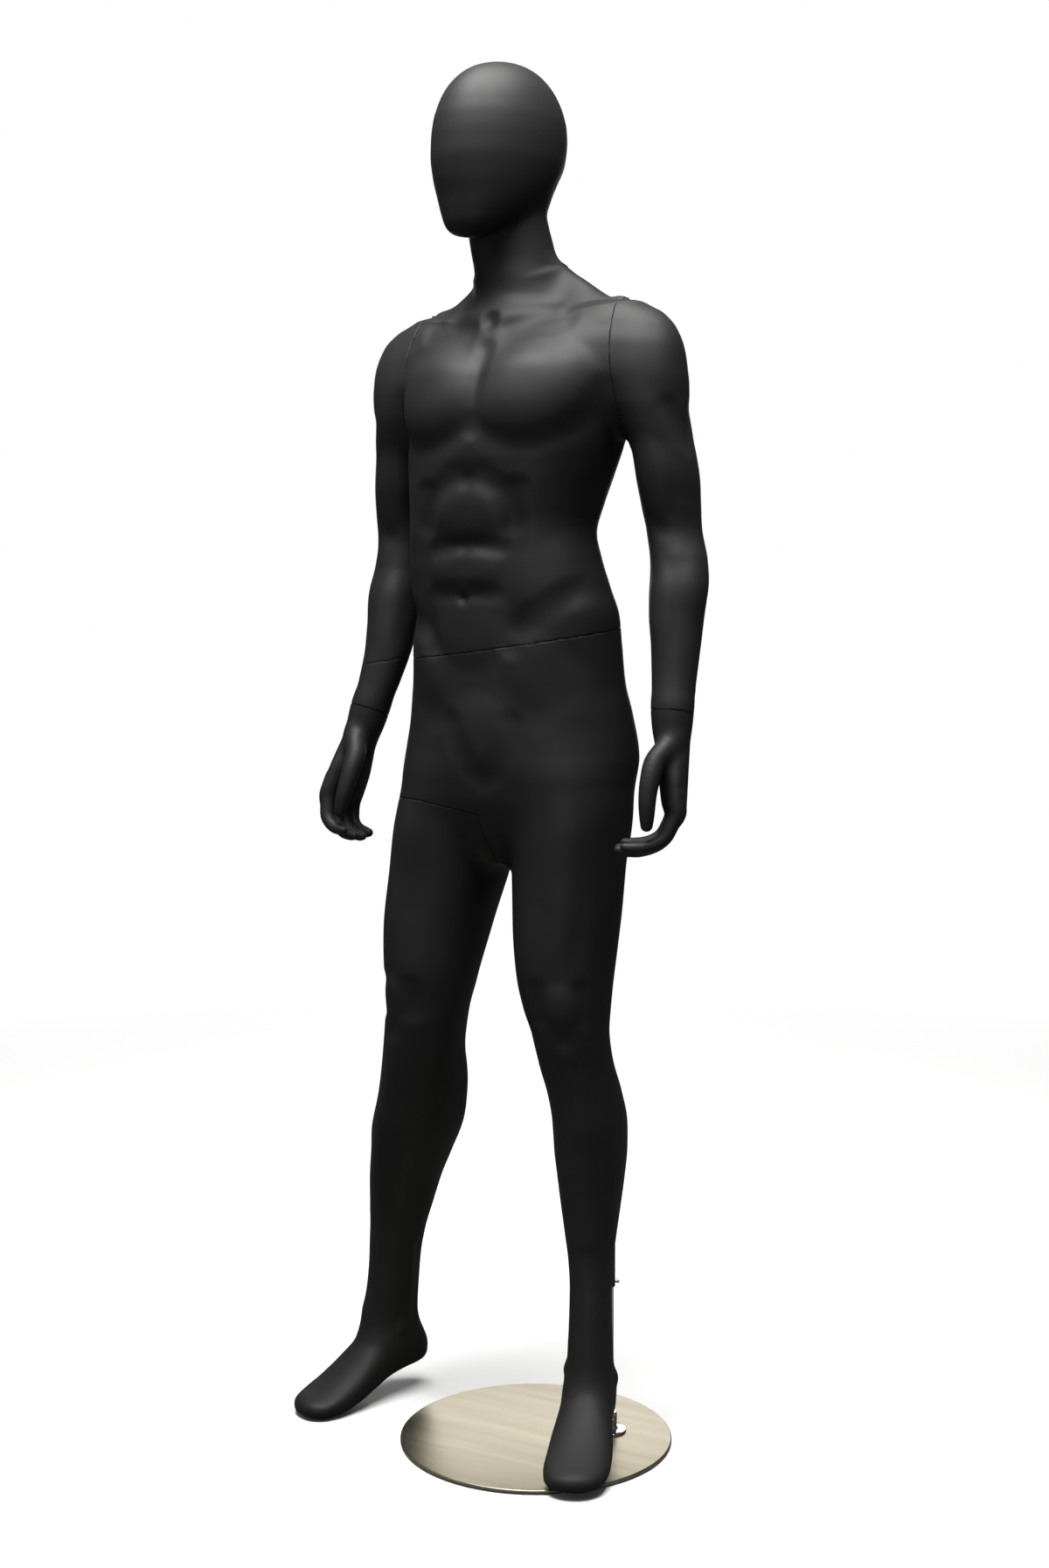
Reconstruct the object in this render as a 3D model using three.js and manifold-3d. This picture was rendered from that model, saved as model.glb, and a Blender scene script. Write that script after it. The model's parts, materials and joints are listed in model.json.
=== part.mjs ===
// A full body display mannequin on a round steel stand.
// Millimetres, +Z up. The figure faces -Y and its left side is +X. The origin is the centre of the
// stand's underside, on the floor. The shells are thin fibreglass, cut where the figure comes apart:
// at the waist, at the top of the right leg, at both shoulders and at both wrists.
import * as THREE from "three";
import { mergeVertices } from "three/addons/utils/BufferGeometryUtils.js";
import Module from "manifold-3d";

const wasm = await Module();
wasm.setup();

// ---- Driving dimensions ----
const WALL = 5; // fibreglass wall
const SEAM_GAP = 0.8; // between the two halves of a cut
const FIT_GAP = 0.4; // between pieces that touch

const BASE_RADIUS = 190;
const BASE_EDGE = 1; // the base's chamfer
const BASE_TOP = 6.5;
const PAD_HEIGHT = 1.5;
const PAD_GAP = 0.05;
const PAD_RADIUS = 184;

const ROD_PLACE = new THREE.Vector3(83.6, 62.1, 0);
const ROD_RADIUS = 6;
const ROD_BOTTOM = 12;
const ROD_TOP = 372;
const ROD_CLEARANCE = 0.3;
const BORE_RADIUS = ROD_RADIUS + ROD_CLEARANCE;
const SOCKET_RADIUS = 8;
const SOCKET_BOTTOM = 214; // the calf socket's open lower end
const SOCKET_TOP = 380;
const SOCKET_HOLE_FLARE = 40; // how far below the socket its hole in the calf starts
const CALF_BLOCK_BOTTOM = 334;
const CALF_BLOCK_TOP = 352;
const COLLAR_RADIUS = 11;
const COLLAR_TOP = 34;
const FLANGE_RADIUS = 24;
const FLANGE_HEIGHT = 3; // the collar's foot, at its rim
const FLANGE_SLOPE = 0.6; // how much the foot's top rises towards the boss
const COLLAR_FILLET = 3; // between the foot and the boss
const COLLAR_EDGE = 1.5; // chamfer at the boss's top
const METAL_EDGE = 1; // chamfer of the foot's rim and the rod's end

const BOLT_RADIUS = 4; // the countersunk bolt that holds the collar from below
const BOLT_HEAD_RADIUS = 7.5;
const BOLT_HEAD_BOTTOM = 2;
const BOLT_HEAD_EDGE = 2.6;
const BOLT_HEAD_TOP = 5.6;
const BOLT_TOP = 11.5;
const BOLT_FIT = 0.2;

const SET_SCREW_RADIUS = 3;
const SET_SCREW_HOLE = 3.2;
const SET_SCREW_LENGTH = 7.5;
const SET_SCREW_GAP = 0.15; // between its tip and the rod
const HEX_RADIUS = 1.5;
const HEX_DEPTH = 3;
const BASE_SCREW = { height: 24, turn: -Math.PI / 5 };
const CALF_SCREW = { height: 221, turn: Math.PI / 5 };

// Fittings, measured along a cut's normal from the middle of the cut.
const PLATE_NEAR = 0.6;
const PLATE_FAR = 3.4;
const BOARD_NEAR = PLATE_FAR + FIT_GAP;
const BOARD_INSET = WALL + FIT_GAP;
const BOARD_THICKNESS = 12;
const WRIST_BOARD_THICKNESS = 10;
const STUD_FLANGE = 0.8; // a stud's flange radius over its plate's
const STUD_OVERLAP = 1; // how far a stem runs into its flange
const LOCK_DEPTH = 9; // from the cut to the far side of the T head
const T_HEAD_HEIGHT = 3.5;
const SLOT_TURN = Math.PI / 3; // the slot lies this far from the T head when the lock is shut
const SLOT_FIT = 1.5;
const STEM_FIT = 0.5;
const PEG = 19; // the thigh's square peg
const PEG_REACH = 40;
const PEG_FIT = 0.8;
const PEG_PLATE_RADIUS = 30;

const FAR = 3000; // past the whole figure
const THROUGH = 60; // past both faces of a board
// Sides of each round.
const OUTSIDE_SEGMENTS = 22;
const INSIDE_SEGMENTS = 14;
const LEG_SEGMENTS = 18;
const FINGER_SEGMENTS = 6;
const BASE_SEGMENTS = 48;
const PAD_SEGMENTS = 36;
const ROD_SEGMENTS = 24;
const COLLAR_SEGMENTS = 20;
const BOLT_SEGMENTS = 16;
const SCREW_SEGMENTS = 12;

// ---- Cuts: a point on each cutting plane and its normal, which points to the piece that comes off ----
const WAIST = plane([-37, 0, 1114], [-0.114, -0.109, 1]);
const LEFT_SHOULDER = plane([136, 8, 1490], [1, 0.03, 0.1]);
const RIGHT_SHOULDER = plane([-176, 8, 1490], [-1, 0.03, 0.1]);
const LEFT_WRIST = plane([219, -26, 1024], [-0.02, -0.2, -1]);
const RIGHT_WRIST = plane([-250, -36, 1020], [-0.22, -0.25, -1]);
const THIGH = plane([-128, 0, 872], [-0.16, -0.3, -1]);
const CROTCH_X = -44; // the right leg lies on the -X side of this
const SHOULDER_FLOOR = 1396; // above this the arm joins the trunk
const SHOULDER_BOARD_FLOOR = 1404;
const ARM_BOARD_FLOOR = 1360;
const ARM_CUT_FLOOR = 1300; // below this the arm is clear of the shoulder's cutting plane
const FOREARM_CEILING = 1200;
const HIP_CEILING = 960; // above this the hips are clear of the thigh's boards
const HIP_SIDE_GAP = 8; // between the thigh's boards and the middle of the crotch
const ANKLE_HEIGHT = 130; // the leg shells are solid below this

// ---- Body stations: [height, centre x, centre y, half width, half depth in front, half depth behind] ----
const TRUNK = [
  [846, -38, 12, 100, 72, 80],
  [876, -38, 12, 130, 92, 104],
  [908, -37, 12, 150, 104, 120],
  [960, -30, 11, 167, 110, 122],
  [1017, -29, 8, 160, 108, 110],
  [1060, -30, 4, 154, 104, 97],
  [1113, -29, 0, 151, 101, 88],
  [1151, -27, -4, 148, 99, 82],
  [1189, -32, -8, 142, 98, 78],
  [1227, -39, -10, 137, 97, 77],
  [1265, -44, -10, 133, 99, 79],
  [1303, -40, -8, 138, 105, 85],
  [1341, -34, -6, 146, 111, 93],
  [1379, -28, -4, 152, 116, 100],
  [1417, -24, -2, 156, 118, 105],
  [1465, -20, 4, 161, 112, 106],
  [1500, -20, 10, 164, 98, 99],
  [1530, -20, 14, 158, 78, 84],
  [1550, -19, 17, 149, 58, 66],
  [1566, -19, 19, 131, 43, 53],
  [1584, -21, 20, 105, 36, 45],
  [1603, -23, 20, 79, 28, 39],
  [1620, -26, 20, 54, 16, 28],
];
const NECK = [
  [1470, -26, 0, 36, 46],
  [1515, -28, 2, 55, 62, 60],
  [1550, -31, 6, 60, 64, 62],
  [1584, -32, 9, 57.5, 55, 60],
  [1603, -35, 10, 58, 56, 58],
  [1622, -38, 10, 57.5, 55, 60],
  [1645, -42, 8, 57, 55, 60],
  [1680, -46, 2, 54.5, 54, 58],
  [1720, -47, -4, 48, 50],
];
// The head is a plain egg, turned a little to the figure's right. Its sections' centres move forward
// as the jaw narrows: [height, forward of the head's axis, half width, half depth].
const HEAD_AXIS = new THREE.Vector2(-45, -21);
const HEAD_TURN = -16 * THREE.MathUtils.DEG2RAD;
const HEAD = [
  [1656, 53, 24, 23],
  [1665, 44.5, 38.5, 39.5],
  [1682, 31, 51.5, 58],
  [1703, 18, 62.5, 75.5],
  [1730, 8, 71.5, 92],
  [1760, 2, 76.5, 100.5],
  [1792, -1, 77.5, 102],
  [1820, -3, 73, 96.5],
  [1845, -3.5, 64.5, 84.5],
  [1866, -4.5, 50, 65.5],
  [1884, -8, 22.5, 31],
  [1887.5, -9, 10, 14],
  [1888.5, -9, 3, 4],
];
// Arms, with a half depth behind only where it differs.
const LEFT_ARM = [
  [1565, 122, 16, 18, 12],
  [1558, 122, 16, 38, 25],
  [1547, 128, 14, 53, 36],
  [1525, 135, 12, 65, 48],
  [1500, 140.5, 10, 68.5, 56, 58],
  [1465, 148.5, 9, 65.5, 60, 62],
  [1430, 162, 10, 54, 58, 60],
  [1400, 173, 12, 46, 53, 56],
  [1370, 183, 15, 41, 48, 50],
  [1334, 189, 18, 41, 46, 48],
  [1297, 192, 22, 39, 42, 44],
  [1261, 196, 25, 36.5, 38, 40],
  [1224, 205, 20, 37.5, 40, 41],
  [1187, 210, 10, 38.5, 40],
  [1150, 211, 2, 36.5, 37],
  [1113, 214, -6, 33, 33],
  [1059, 217, -18, 29, 28],
  [1023, 219, -26, 26.5, 25.5],
  [1005, 219, -29, 26, 25],
];
const RIGHT_ARM = [
  [1563.5, -160, 16, 18, 12],
  [1557, -162, 15, 39, 25],
  [1545, -171, 14, 56.5, 37, 36],
  [1525, -179, 12, 67.5, 48],
  [1499, -185, 10, 69.5, 56, 58],
  [1465, -192, 9, 65.5, 60, 62],
  [1430, -204, 11, 54, 58, 60],
  [1400, -215, 15, 45.5, 53, 56],
  [1370, -223, 20, 41, 48, 50],
  [1334, -228, 24, 41.5, 46, 48],
  [1297, -232, 28, 39.5, 42, 44],
  [1261, -233, 29, 37.5, 38, 40],
  [1224, -232, 25, 38, 40, 41],
  [1187, -233, 13, 39, 40],
  [1150, -233.5, 2, 37.5, 37],
  [1113, -233.5, -10, 34.5, 33],
  [1059, -240.5, -26, 30.2, 28],
  [1020, -250, -36, 26.5, 25.5],
  [1000, -253, -40, 26, 25],
];
// Legs. Their tops run up inside the hips.
const LEFT_LEG = [
  [1050, 26, 8, 30, 36, 40],
  [1010, 34, 8, 58, 66, 74],
  [970, 42, 6, 77, 86, 94],
  [930, 49, 4, 87, 95, 103],
  [870, 53.5, 2, 83.5, 94, 100],
  [809, 51, -2, 76.5, 90, 94],
  [733, 51, -8, 72, 85, 86],
  [657, 55, -16, 65.5, 75, 76],
  [620, 59, -18, 59.5, 69, 70],
  [581, 63, -14, 52.5, 64],
  [541, 66, -4, 51, 61, 62],
  [500, 71, 10, 51, 64, 66],
  [459, 74, 20, 51.5, 67, 70],
  [419, 73, 25, 50.5, 64, 68],
  [379, 73, 26, 46.5, 59, 64],
  [340, 74, 24, 41.5, 52, 57],
  [301, 76, 20, 36, 45, 50],
  [263, 79, 15, 31.2, 39, 44],
  [226, 82, 9, 29, 36, 40],
  [180, 85, 3, 29.8, 36, 40],
  [140, 87, -1, 31.5, 38, 42],
  [105, 88, -3, 33, 40, 44],
  [65, 86, -2, 30, 40, 42],
];
const RIGHT_LEG = [
  [1040, -90, 10, 30, 36, 40],
  [1005, -97, 10, 57, 64, 72],
  [970, -105, 8, 75, 84, 92],
  [930, -113, 6, 83, 93, 101],
  [870, -126.5, 4, 82.5, 94, 100],
  [798, -140.5, 0, 78.2, 88, 92],
  [718, -153.5, -10, 70.7, 80, 82],
  [640, -160, -20, 60.5, 67, 69],
  [599, -165, -20, 55, 61, 62],
  [557, -174, -14, 52, 61, 62],
  [514, -184, -2, 51.5, 64, 65],
  [469, -197, 12, 52.5, 67],
  [424, -212, 22, 53.5, 69, 71],
  [379, -226, 30, 48.5, 64, 68],
  [335, -240, 34, 43.5, 56, 60],
  [290, -251, 38, 38.4, 48, 53],
  [247, -259, 39, 34, 42, 46],
  [203, -264.5, 42, 32, 41, 42],
  [158, -270, 46, 32.5, 44, 41],
  [125, -275.5, 48, 34, 48, 43],
  [95, -277, 48, 34.5, 50, 44],
  [66, -274, 51, 29, 40, 42],
];
const LEG_TURN = 20 * THREE.MathUtils.DEG2RAD; // each leg is turned outwards
// Feet: where the heel's back is in plan, the turn outwards, and the height of the ground under it.
const LEFT_FOOT = { heel: [67, 51], turn: 20.5, ground: BASE_TOP + 0.5 };
const RIGHT_FOOT = { heel: [-254.5, 104.5], turn: -20, ground: 0.5 };
const TOE_START = 130; // beyond this distance the foot's middle curves inwards
const TOE_DRIFT = 5; // and this is how far it has moved at the tip
const SOLE_FLATNESS = 0.6;
// Foot sections: [distance from the heel's back, half width, underside, top].
const FOOT = [
  [0, 8, 49, 67],
  [6, 17, 43, 83],
  [22, 26, 38, 100],
  [50, 31.5, 35, 113],
  [80, 34.5, 29, 107],
  [112, 38.5, 17, 87],
  [145, 43, 6, 61],
  [175, 44, 0, 43],
  [200, 40, 0, 32],
  [217, 29, 2, 26],
  [224.5, 16, 6, 21],
  [227, 6, 10, 16],
];

// ---- Hands and fittings ----
// A relaxed hand hanging down -Z from its cut. The palm faces +X and the thumb is on the -Y side.
const PALM = [
  [8, 0, 0, 24.5, 26],
  [-14, 0, 0, 24.5, 26.5],
  [-46, -1, 0, 22.5, 27.5],
  [-70, -2, 1, 20.5, 34.5],
  [-95, -3, 2, 18.5, 40.5],
  [-120, -4, 2, 16, 42],
  [-134, -6, 2, 13, 40],
  [-143, -6, 2, 8, 35],
];
const KNUCKLE_HEIGHT = -130;
// Below the knuckles a finger runs [towards the palm, down, radius] for a full-length finger.
const CURL = [
  [-6, 0, 10],
  [2, 21, 9.5],
  [11, 38, 9],
  [28, 49, 8.5],
  [46, 53, 8],
  [60, 53, 7],
  [66, 52, 3],
];
const FINGER_ROOT = { x: -7, rise: 16, radius: 9 };
const FINGERS = [
  { across: -29, length: 0.88 },
  { across: -9, length: 0.98 },
  { across: 11, length: 0.95 },
  { across: 30, length: 0.83 },
];
const THUMB = [
  [2, -20, -54, 13],
  [12, -28, -66, 14],
  [22, -34, -80, 13],
  [28, -38, -100, 12],
  [30, -41, -120, 10.8],
  [30, -40, -138, 9],
  [30, -39, -149, 7],
  [30, -38, -154, 3],
];
// How each hand hangs from its wrist: its length's direction, the palm's turn about it, and how
// far the fingers curl and reach.
const HANDS = {
  left: { wrist: LEFT_WRIST, hangs: [0.026, -0.072, -1], palmTurn: 30, mirrored: true, curl: 1.04, reach: 1 },
  right: { wrist: RIGHT_WRIST, hangs: [-0.246, -0.205, -1], palmTurn: -5, curl: 0.8, reach: 0.9 },
};

// Twist locks: the plate's radius, the T head's reach and the stem's radius.
const LOCKS = {
  waist: { cut: WAIST, plate: 42, reach: 26, stem: 6 },
  left_shoulder: { cut: LEFT_SHOULDER, plate: 27, reach: 16, stem: 4.5 },
  right_shoulder: { cut: RIGHT_SHOULDER, plate: 27, reach: 16, stem: 4.5 },
  left_wrist: { cut: LEFT_WRIST, plate: 15, reach: 8, stem: 3 },
  right_wrist: { cut: RIGHT_WRIST, plate: 15, reach: 8, stem: 3 },
};

// ---- Geometry helpers ----
function plane(point, normal) {
  return {
    point: new THREE.Vector3(...point),
    normal: new THREE.Vector3(...normal).normalize(),
  };
}

// A closed three.js geometry as a manifold-3d solid.
function solid(geometry) {
  const bare = geometry.clone();
  bare.deleteAttribute("normal");
  bare.deleteAttribute("uv");
  const merged = mergeVertices(bare, 1e-4);
  return new wasm.Manifold(
    new wasm.Mesh({
      numProp: 3,
      vertProperties: new Float32Array(merged.attributes.position.array),
      triVerts: new Uint32Array(merged.index.array),
    }),
  );
}

function geometryOf(body) {
  const mesh = body.getMesh();
  const geometry = new THREE.BufferGeometry();
  geometry.setAttribute("position", new THREE.BufferAttribute(mesh.vertProperties, 3));
  geometry.setIndex(new THREE.BufferAttribute(mesh.triVerts, 1));
  geometry.computeVertexNormals();
  return geometry;
}

function union(bodies) {
  return bodies.reduce((whole, body) => whole.add(body));
}

// A skin over a stack of rings with equal point counts, closed by a fan at each end.
function loft(rings) {
  const around = rings[0].length;
  const positions = rings.flat().flatMap((p) => [p.x, p.y, p.z]);
  const faces = [];
  for (let row = 0; row < rings.length - 1; row++) {
    for (let i = 0; i < around; i++) {
      const a = row * around + i;
      const b = row * around + ((i + 1) % around);
      faces.push(a, b, b + around, a, b + around, a + around);
    }
  }
  for (const row of [0, rings.length - 1]) {
    const middle = rings[row].reduce((sum, p) => sum.add(p), new THREE.Vector3());
    middle.divideScalar(around);
    const tip = positions.length / 3;
    positions.push(middle.x, middle.y, middle.z);
    for (let i = 0; i < around; i++) {
      const a = row * around + i;
      const b = row * around + ((i + 1) % around);
      faces.push(...(row === 0 ? [tip, b, a] : [tip, a, b]));
    }
  }
  const geometry = new THREE.BufferGeometry();
  geometry.setAttribute("position", new THREE.Float32BufferAttribute(positions, 3));
  geometry.setIndex(faces);
  return geometry;
}

// A level oval ring, squarer than an ellipse where bluntness is over 2, turned about +Z.
function ovalRing({ centre, width, front, back, turn = 0, bluntness = 2, segments }) {
  const ring = [];
  for (let i = 0; i < segments; i++) {
    const angle = (i / segments) * Math.PI * 2;
    const c = Math.cos(angle);
    const s = Math.sin(angle);
    const across = Math.sign(c) * Math.abs(c) ** (2 / bluntness) * width;
    const along = Math.sign(s) * Math.abs(s) ** (2 / bluntness) * (s < 0 ? front : back);
    const offset = new THREE.Vector3(across, along, 0).applyAxisAngle(new THREE.Vector3(0, 0, 1), turn);
    ring.push(offset.add(centre));
  }
  return ring;
}

// Every other station, with both ends, for the plainer inside of a shell.
function thinned(stations) {
  const last = stations.length - 1;
  return stations.filter((_, i) => i % 2 === 0 || i === last);
}

// A limb or the trunk from its stations, made smaller all round by inset.
function limb(stations, { inset = 0, bluntness = 2, segments = 20, turn = 0 } = {}) {
  const rows = [...stations].sort((a, b) => a[0] - b[0]);
  const last = rows.length - 1;
  const rings = rows.map(([height, x, y, width, front, back = front], row) => {
    const drop = row === 0 ? inset : row === last ? -inset : 0;
    return ovalRing({
      centre: new THREE.Vector3(x, y, height + drop),
      width: Math.max(width - inset, 1),
      front: Math.max(front - inset, 1),
      back: Math.max(back - inset, 1),
      turn,
      bluntness,
      segments,
    });
  });
  return solid(loft(rings));
}

function head(inset = 0, segments = 24) {
  const last = HEAD.length - 1;
  const forward = new THREE.Vector2(Math.sin(HEAD_TURN), -Math.cos(HEAD_TURN));
  const rings = HEAD.map(([height, ahead, width, depth], row) => {
    const drop = row === 0 ? inset : row === last ? -inset : 0;
    const place = HEAD_AXIS.clone().addScaledVector(forward, ahead);
    return ovalRing({
      centre: new THREE.Vector3(place.x, place.y, height + drop),
      width: Math.max(width - inset, 1),
      front: Math.max(depth - inset, 1),
      back: Math.max(depth - inset, 1),
      turn: HEAD_TURN,
      segments,
    });
  });
  return solid(loft(rings));
}

// A smooth foot with no toes, raised at the heel.
function foot({ heel, turn, ground }) {
  const angle = turn * THREE.MathUtils.DEG2RAD;
  const ahead = new THREE.Vector3(Math.sin(angle), -Math.cos(angle), 0);
  const side = new THREE.Vector3(Math.cos(angle), Math.sin(angle), 0);
  const segments = 16;
  const rings = FOOT.map(([distance, width, bottom, top]) => {
    const centre = new THREE.Vector3(heel[0], heel[1], ground + (bottom + top) / 2);
    const curve = Math.max((distance - TOE_START) / (FOOT.at(-1)[0] - TOE_START), 0) ** 2;
    centre.addScaledVector(ahead, distance);
    centre.addScaledVector(side, -Math.sign(turn) * TOE_DRIFT * curve);
    const ring = [];
    for (let i = 0; i < segments; i++) {
      const around = (i / segments) * Math.PI * 2;
      const rise = Math.sin(around);
      const flatness = rise < 0 ? SOLE_FLATNESS : 1; // the sole is flatter than the instep
      const point = centre.clone().addScaledVector(side, Math.cos(around) * width);
      point.z += (Math.sign(rise) * Math.abs(rise) ** flatness * (top - bottom)) / 2;
      ring.push(point);
    }
    return ring;
  });
  return solid(loft(rings));
}

// A frame whose +Z is the given direction.
function turnTo(normal) {
  return new THREE.Quaternion().setFromUnitVectors(new THREE.Vector3(0, 0, 1), normal);
}

// The block of space between two distances along a plane's normal.
function slab({ point, normal }, from, to) {
  const box = new THREE.BoxGeometry(FAR, FAR, to - from);
  box.translate(0, 0, (from + to) / 2);
  box.applyQuaternion(turnTo(normal));
  box.translate(point.x, point.y, point.z);
  return solid(box);
}

function above(cut, gap = SEAM_GAP / 2) {
  return slab(cut, gap, FAR);
}

function below(cut, gap = SEAM_GAP / 2) {
  return slab(cut, -FAR, -gap);
}

function level(height) {
  return plane([0, 0, height], [0, 0, 1]);
}

// A turned piece about +Z. The profile is [radius, height] pairs, going up its outside.
function turned(profile, segments = 18) {
  const points = profile.map(([radius, height]) => new THREE.Vector2(radius, height));
  const geometry = new THREE.LatheGeometry(points, segments);
  return geometry.rotateX(Math.PI / 2);
}

function disc(radius, bottom, top, segments = 18) {
  return turned([[0, bottom], [radius, bottom], [radius, top], [0, top]], segments);
}

function bar(length, width, bottom, top) {
  return new THREE.BoxGeometry(length, width, top - bottom).translate(0, 0, (bottom + top) / 2);
}

// ---- Materials ----
const BLACK = { color: 0x1c1c1d, roughness: 0.62, metalness: 0 };
const STEEL = { color: 0xb9b4a8, roughness: 0.34, metalness: 1 };
const CHROME = { color: 0xdedede, roughness: 0.12, metalness: 1 };
const ZINC = { color: 0x9fa3a6, roughness: 0.45, metalness: 1 };
const WOOD = { color: 0xb08a58, roughness: 0.8, metalness: 0 };
const RUBBER = { color: 0x222222, roughness: 0.9, metalness: 0 };

const model = new THREE.Group();

function addPiece(name, geometry, look, parent = model) {
  const mesh = new THREE.Mesh(geometry, new THREE.MeshStandardMaterial(look));
  mesh.name = name;
  parent.add(mesh);
  return mesh;
}

// A group standing on a cut, its +Z along the cut's normal.
function standOn({ point, normal }) {
  const group = new THREE.Group();
  group.position.copy(point);
  group.quaternion.copy(turnTo(normal));
  model.add(group);
  return group;
}

// ---- Hands ----
// A finger is a bent, tapering loft through its joints: [x, y, z, radius] from knuckle to tip.
function finger(joints) {
  const centres = joints.map(([x, y, z]) => new THREE.Vector3(x, y, z));
  const rings = joints.map(([, , , radius], i) => {
    const before = centres[Math.max(i - 1, 0)];
    const after = centres[Math.min(i + 1, centres.length - 1)];
    const along = after.clone().sub(before).normalize();
    const turn = new THREE.Quaternion().setFromUnitVectors(new THREE.Vector3(0, 0, 1), along);
    const ring = [];
    for (let k = 0; k < FINGER_SEGMENTS; k++) {
      const angle = (k / FINGER_SEGMENTS) * Math.PI * 2;
      const point = new THREE.Vector3(Math.cos(angle) * radius, Math.sin(angle) * radius, 0);
      ring.push(point.applyQuaternion(turn).add(centres[i]));
    }
    return ring;
  });
  return solid(loft(rings));
}

function hand({ curl, reach }) {
  const palm = limb(PALM, { segments: 14 });
  const fingers = FINGERS.map(({ across, length }) => {
    const size = length * reach;
    const root = [FINGER_ROOT.x, across, KNUCKLE_HEIGHT + FINGER_ROOT.rise, FINGER_ROOT.radius];
    const joint = ([x, down, radius]) => [x * size * curl, across, KNUCKLE_HEIGHT - down * size, radius];
    return finger([root, ...CURL.map(joint)]);
  });
  return union([palm, ...fingers, finger(THUMB)]);
}

function placeHand(pose) {
  const { wrist, hangs, palmTurn, mirrored } = pose;
  const up = new THREE.Vector3(...hangs).normalize().negate();
  const geometry = geometryOf(hand(pose));
  if (mirrored) {
    geometry.scale(-1, 1, 1);
    geometry.setIndex([...geometry.index.array].reverse());
  }
  geometry.rotateZ(palmTurn * THREE.MathUtils.DEG2RAD);
  geometry.applyQuaternion(turnTo(up));
  geometry.translate(wrist.point.x, wrist.point.y, wrist.point.z);
  const flange = LOCKS.left_wrist.plate * STUD_FLANGE;
  const recess = placed(disc(flange + FIT_GAP, -THROUGH, PLATE_FAR + FIT_GAP), wrist);
  return solid(geometry).intersect(above(wrist)).subtract(recess);
}

// ---- Shells ----
// The bodies are built twice: once for the outside and once, inset, for the hollow and the boards.
function trunk(inset, segments) {
  const stations = inset > 0 ? thinned(TRUNK) : TRUNK;
  return limb(stations, { inset, bluntness: 2.3, segments });
}

function withShoulders(inset, segments) {
  const high = above(level(SHOULDER_FLOOR), inset);
  const arms = [LEFT_ARM, RIGHT_ARM].map((stations) => armLimb(stations, inset).intersect(high));
  const neck = limb(NECK, { inset, segments: segments - 2 });
  return union([trunk(inset, segments), neck, head(inset, segments - 4), ...arms]);
}

function armLimb(stations, inset) {
  return inset > 0
    ? limb(thinned(stations), { inset, segments: 10 })
    : limb(stations, { inset, segments: 16 });
}

function upperBody() {
  const whole = withShoulders(0, OUTSIDE_SEGMENTS);
  return whole.intersect(above(WAIST)).intersect(below(LEFT_SHOULDER)).intersect(below(RIGHT_SHOULDER));
}

function arm(stations, shoulder) {
  const whole = armLimb(stations, 0);
  const split = level(ARM_CUT_FLOOR);
  const high = whole.intersect(above(split, 0)).intersect(above(shoulder));
  return high.add(whole.intersect(below(split, 0)));
}

function hipsAndLegs() {
  const left = limb(LEFT_LEG, { turn: LEG_TURN, segments: LEG_SEGMENTS });
  const right = limb(RIGHT_LEG, { turn: -LEG_TURN, segments: LEG_SEGMENTS });
  return union([trunk(0, OUTSIDE_SEGMENTS), left, right]);
}

function rightOf(x, gap) {
  return above(plane([x, 0, 0], [-1, 0, 0]), gap);
}

// The space that the right leg fills: below its cut and on its own side of the crotch.
function rightLegSpace(gap) {
  return above(THIGH, gap).intersect(rightOf(CROTCH_X, gap));
}

// The largest piece of a body, when a cut leaves slivers beside it.
function largest(body) {
  return body.decompose().reduce((best, part) => (part.volume() > best.volume() ? part : best));
}

function hipsHollow(inset) {
  const legs = [[LEFT_LEG, LEG_TURN], [RIGHT_LEG, -LEG_TURN]].map(([leg, turn]) => {
    const aboveAnkle = leg.filter(([height]) => height > ANKLE_HEIGHT);
    return limb(thinned(aboveAnkle), { inset, segments: 12, turn });
  });
  return union([trunk(inset, INSIDE_SEGMENTS), ...legs]);
}

function boardAt(hollow, cut, side, thickness = BOARD_THICKNESS) {
  const near = side * BOARD_NEAR;
  const far = side * (BOARD_NEAR + thickness);
  return largest(hollow.intersect(slab(cut, Math.min(near, far), Math.max(near, far))));
}

function placed(geometry, cut) {
  geometry.applyQuaternion(turnTo(cut.normal));
  return solid(geometry.translate(cut.point.x, cut.point.y, cut.point.z));
}

// A twist lock: a slotted plate on the fixed side, and on the other side a T-headed stud that
// passes the slot and turns under the plate. The board behind the plate has a round pocket for it.
function pocketOf({ cut, reach }) {
  return placed(disc(reach + SLOT_FIT, -THROUGH, THROUGH), cut);
}

function lockPlate({ plate, reach, stem }) {
  const slot = bar(2 * reach + SLOT_FIT, 2 * stem + SLOT_FIT, -THROUGH, THROUGH).rotateZ(SLOT_TURN);
  const body = solid(disc(plate, -PLATE_FAR, -PLATE_NEAR)).subtract(solid(slot));
  return body.subtract(solid(disc(stem + STEM_FIT, -THROUGH, THROUGH)));
}

function lockStud({ plate, reach, stem }) {
  const flange = solid(disc(plate * STUD_FLANGE, PLATE_NEAR, PLATE_FAR));
  const shaft = solid(disc(stem, -LOCK_DEPTH + STEM_FIT, PLATE_NEAR + STUD_OVERLAP));
  const crossbar = solid(bar(2 * reach, 2 * stem, -LOCK_DEPTH, -LOCK_DEPTH + T_HEAD_HEIGHT));
  return union([flange, shaft, crossbar]);
}

function addLock(name, lock) {
  const group = standOn(lock.cut);
  addPiece(name + "_lock_plate", geometryOf(lockPlate(lock)), ZINC, group);
  addPiece(name + "_lock_stud", geometryOf(lockStud(lock)), ZINC, group);
}

function socketHole(bottom, top) {
  return solid(disc(SOCKET_RADIUS + FIT_GAP, bottom, top)).translate(ROD_PLACE.toArray());
}

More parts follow.
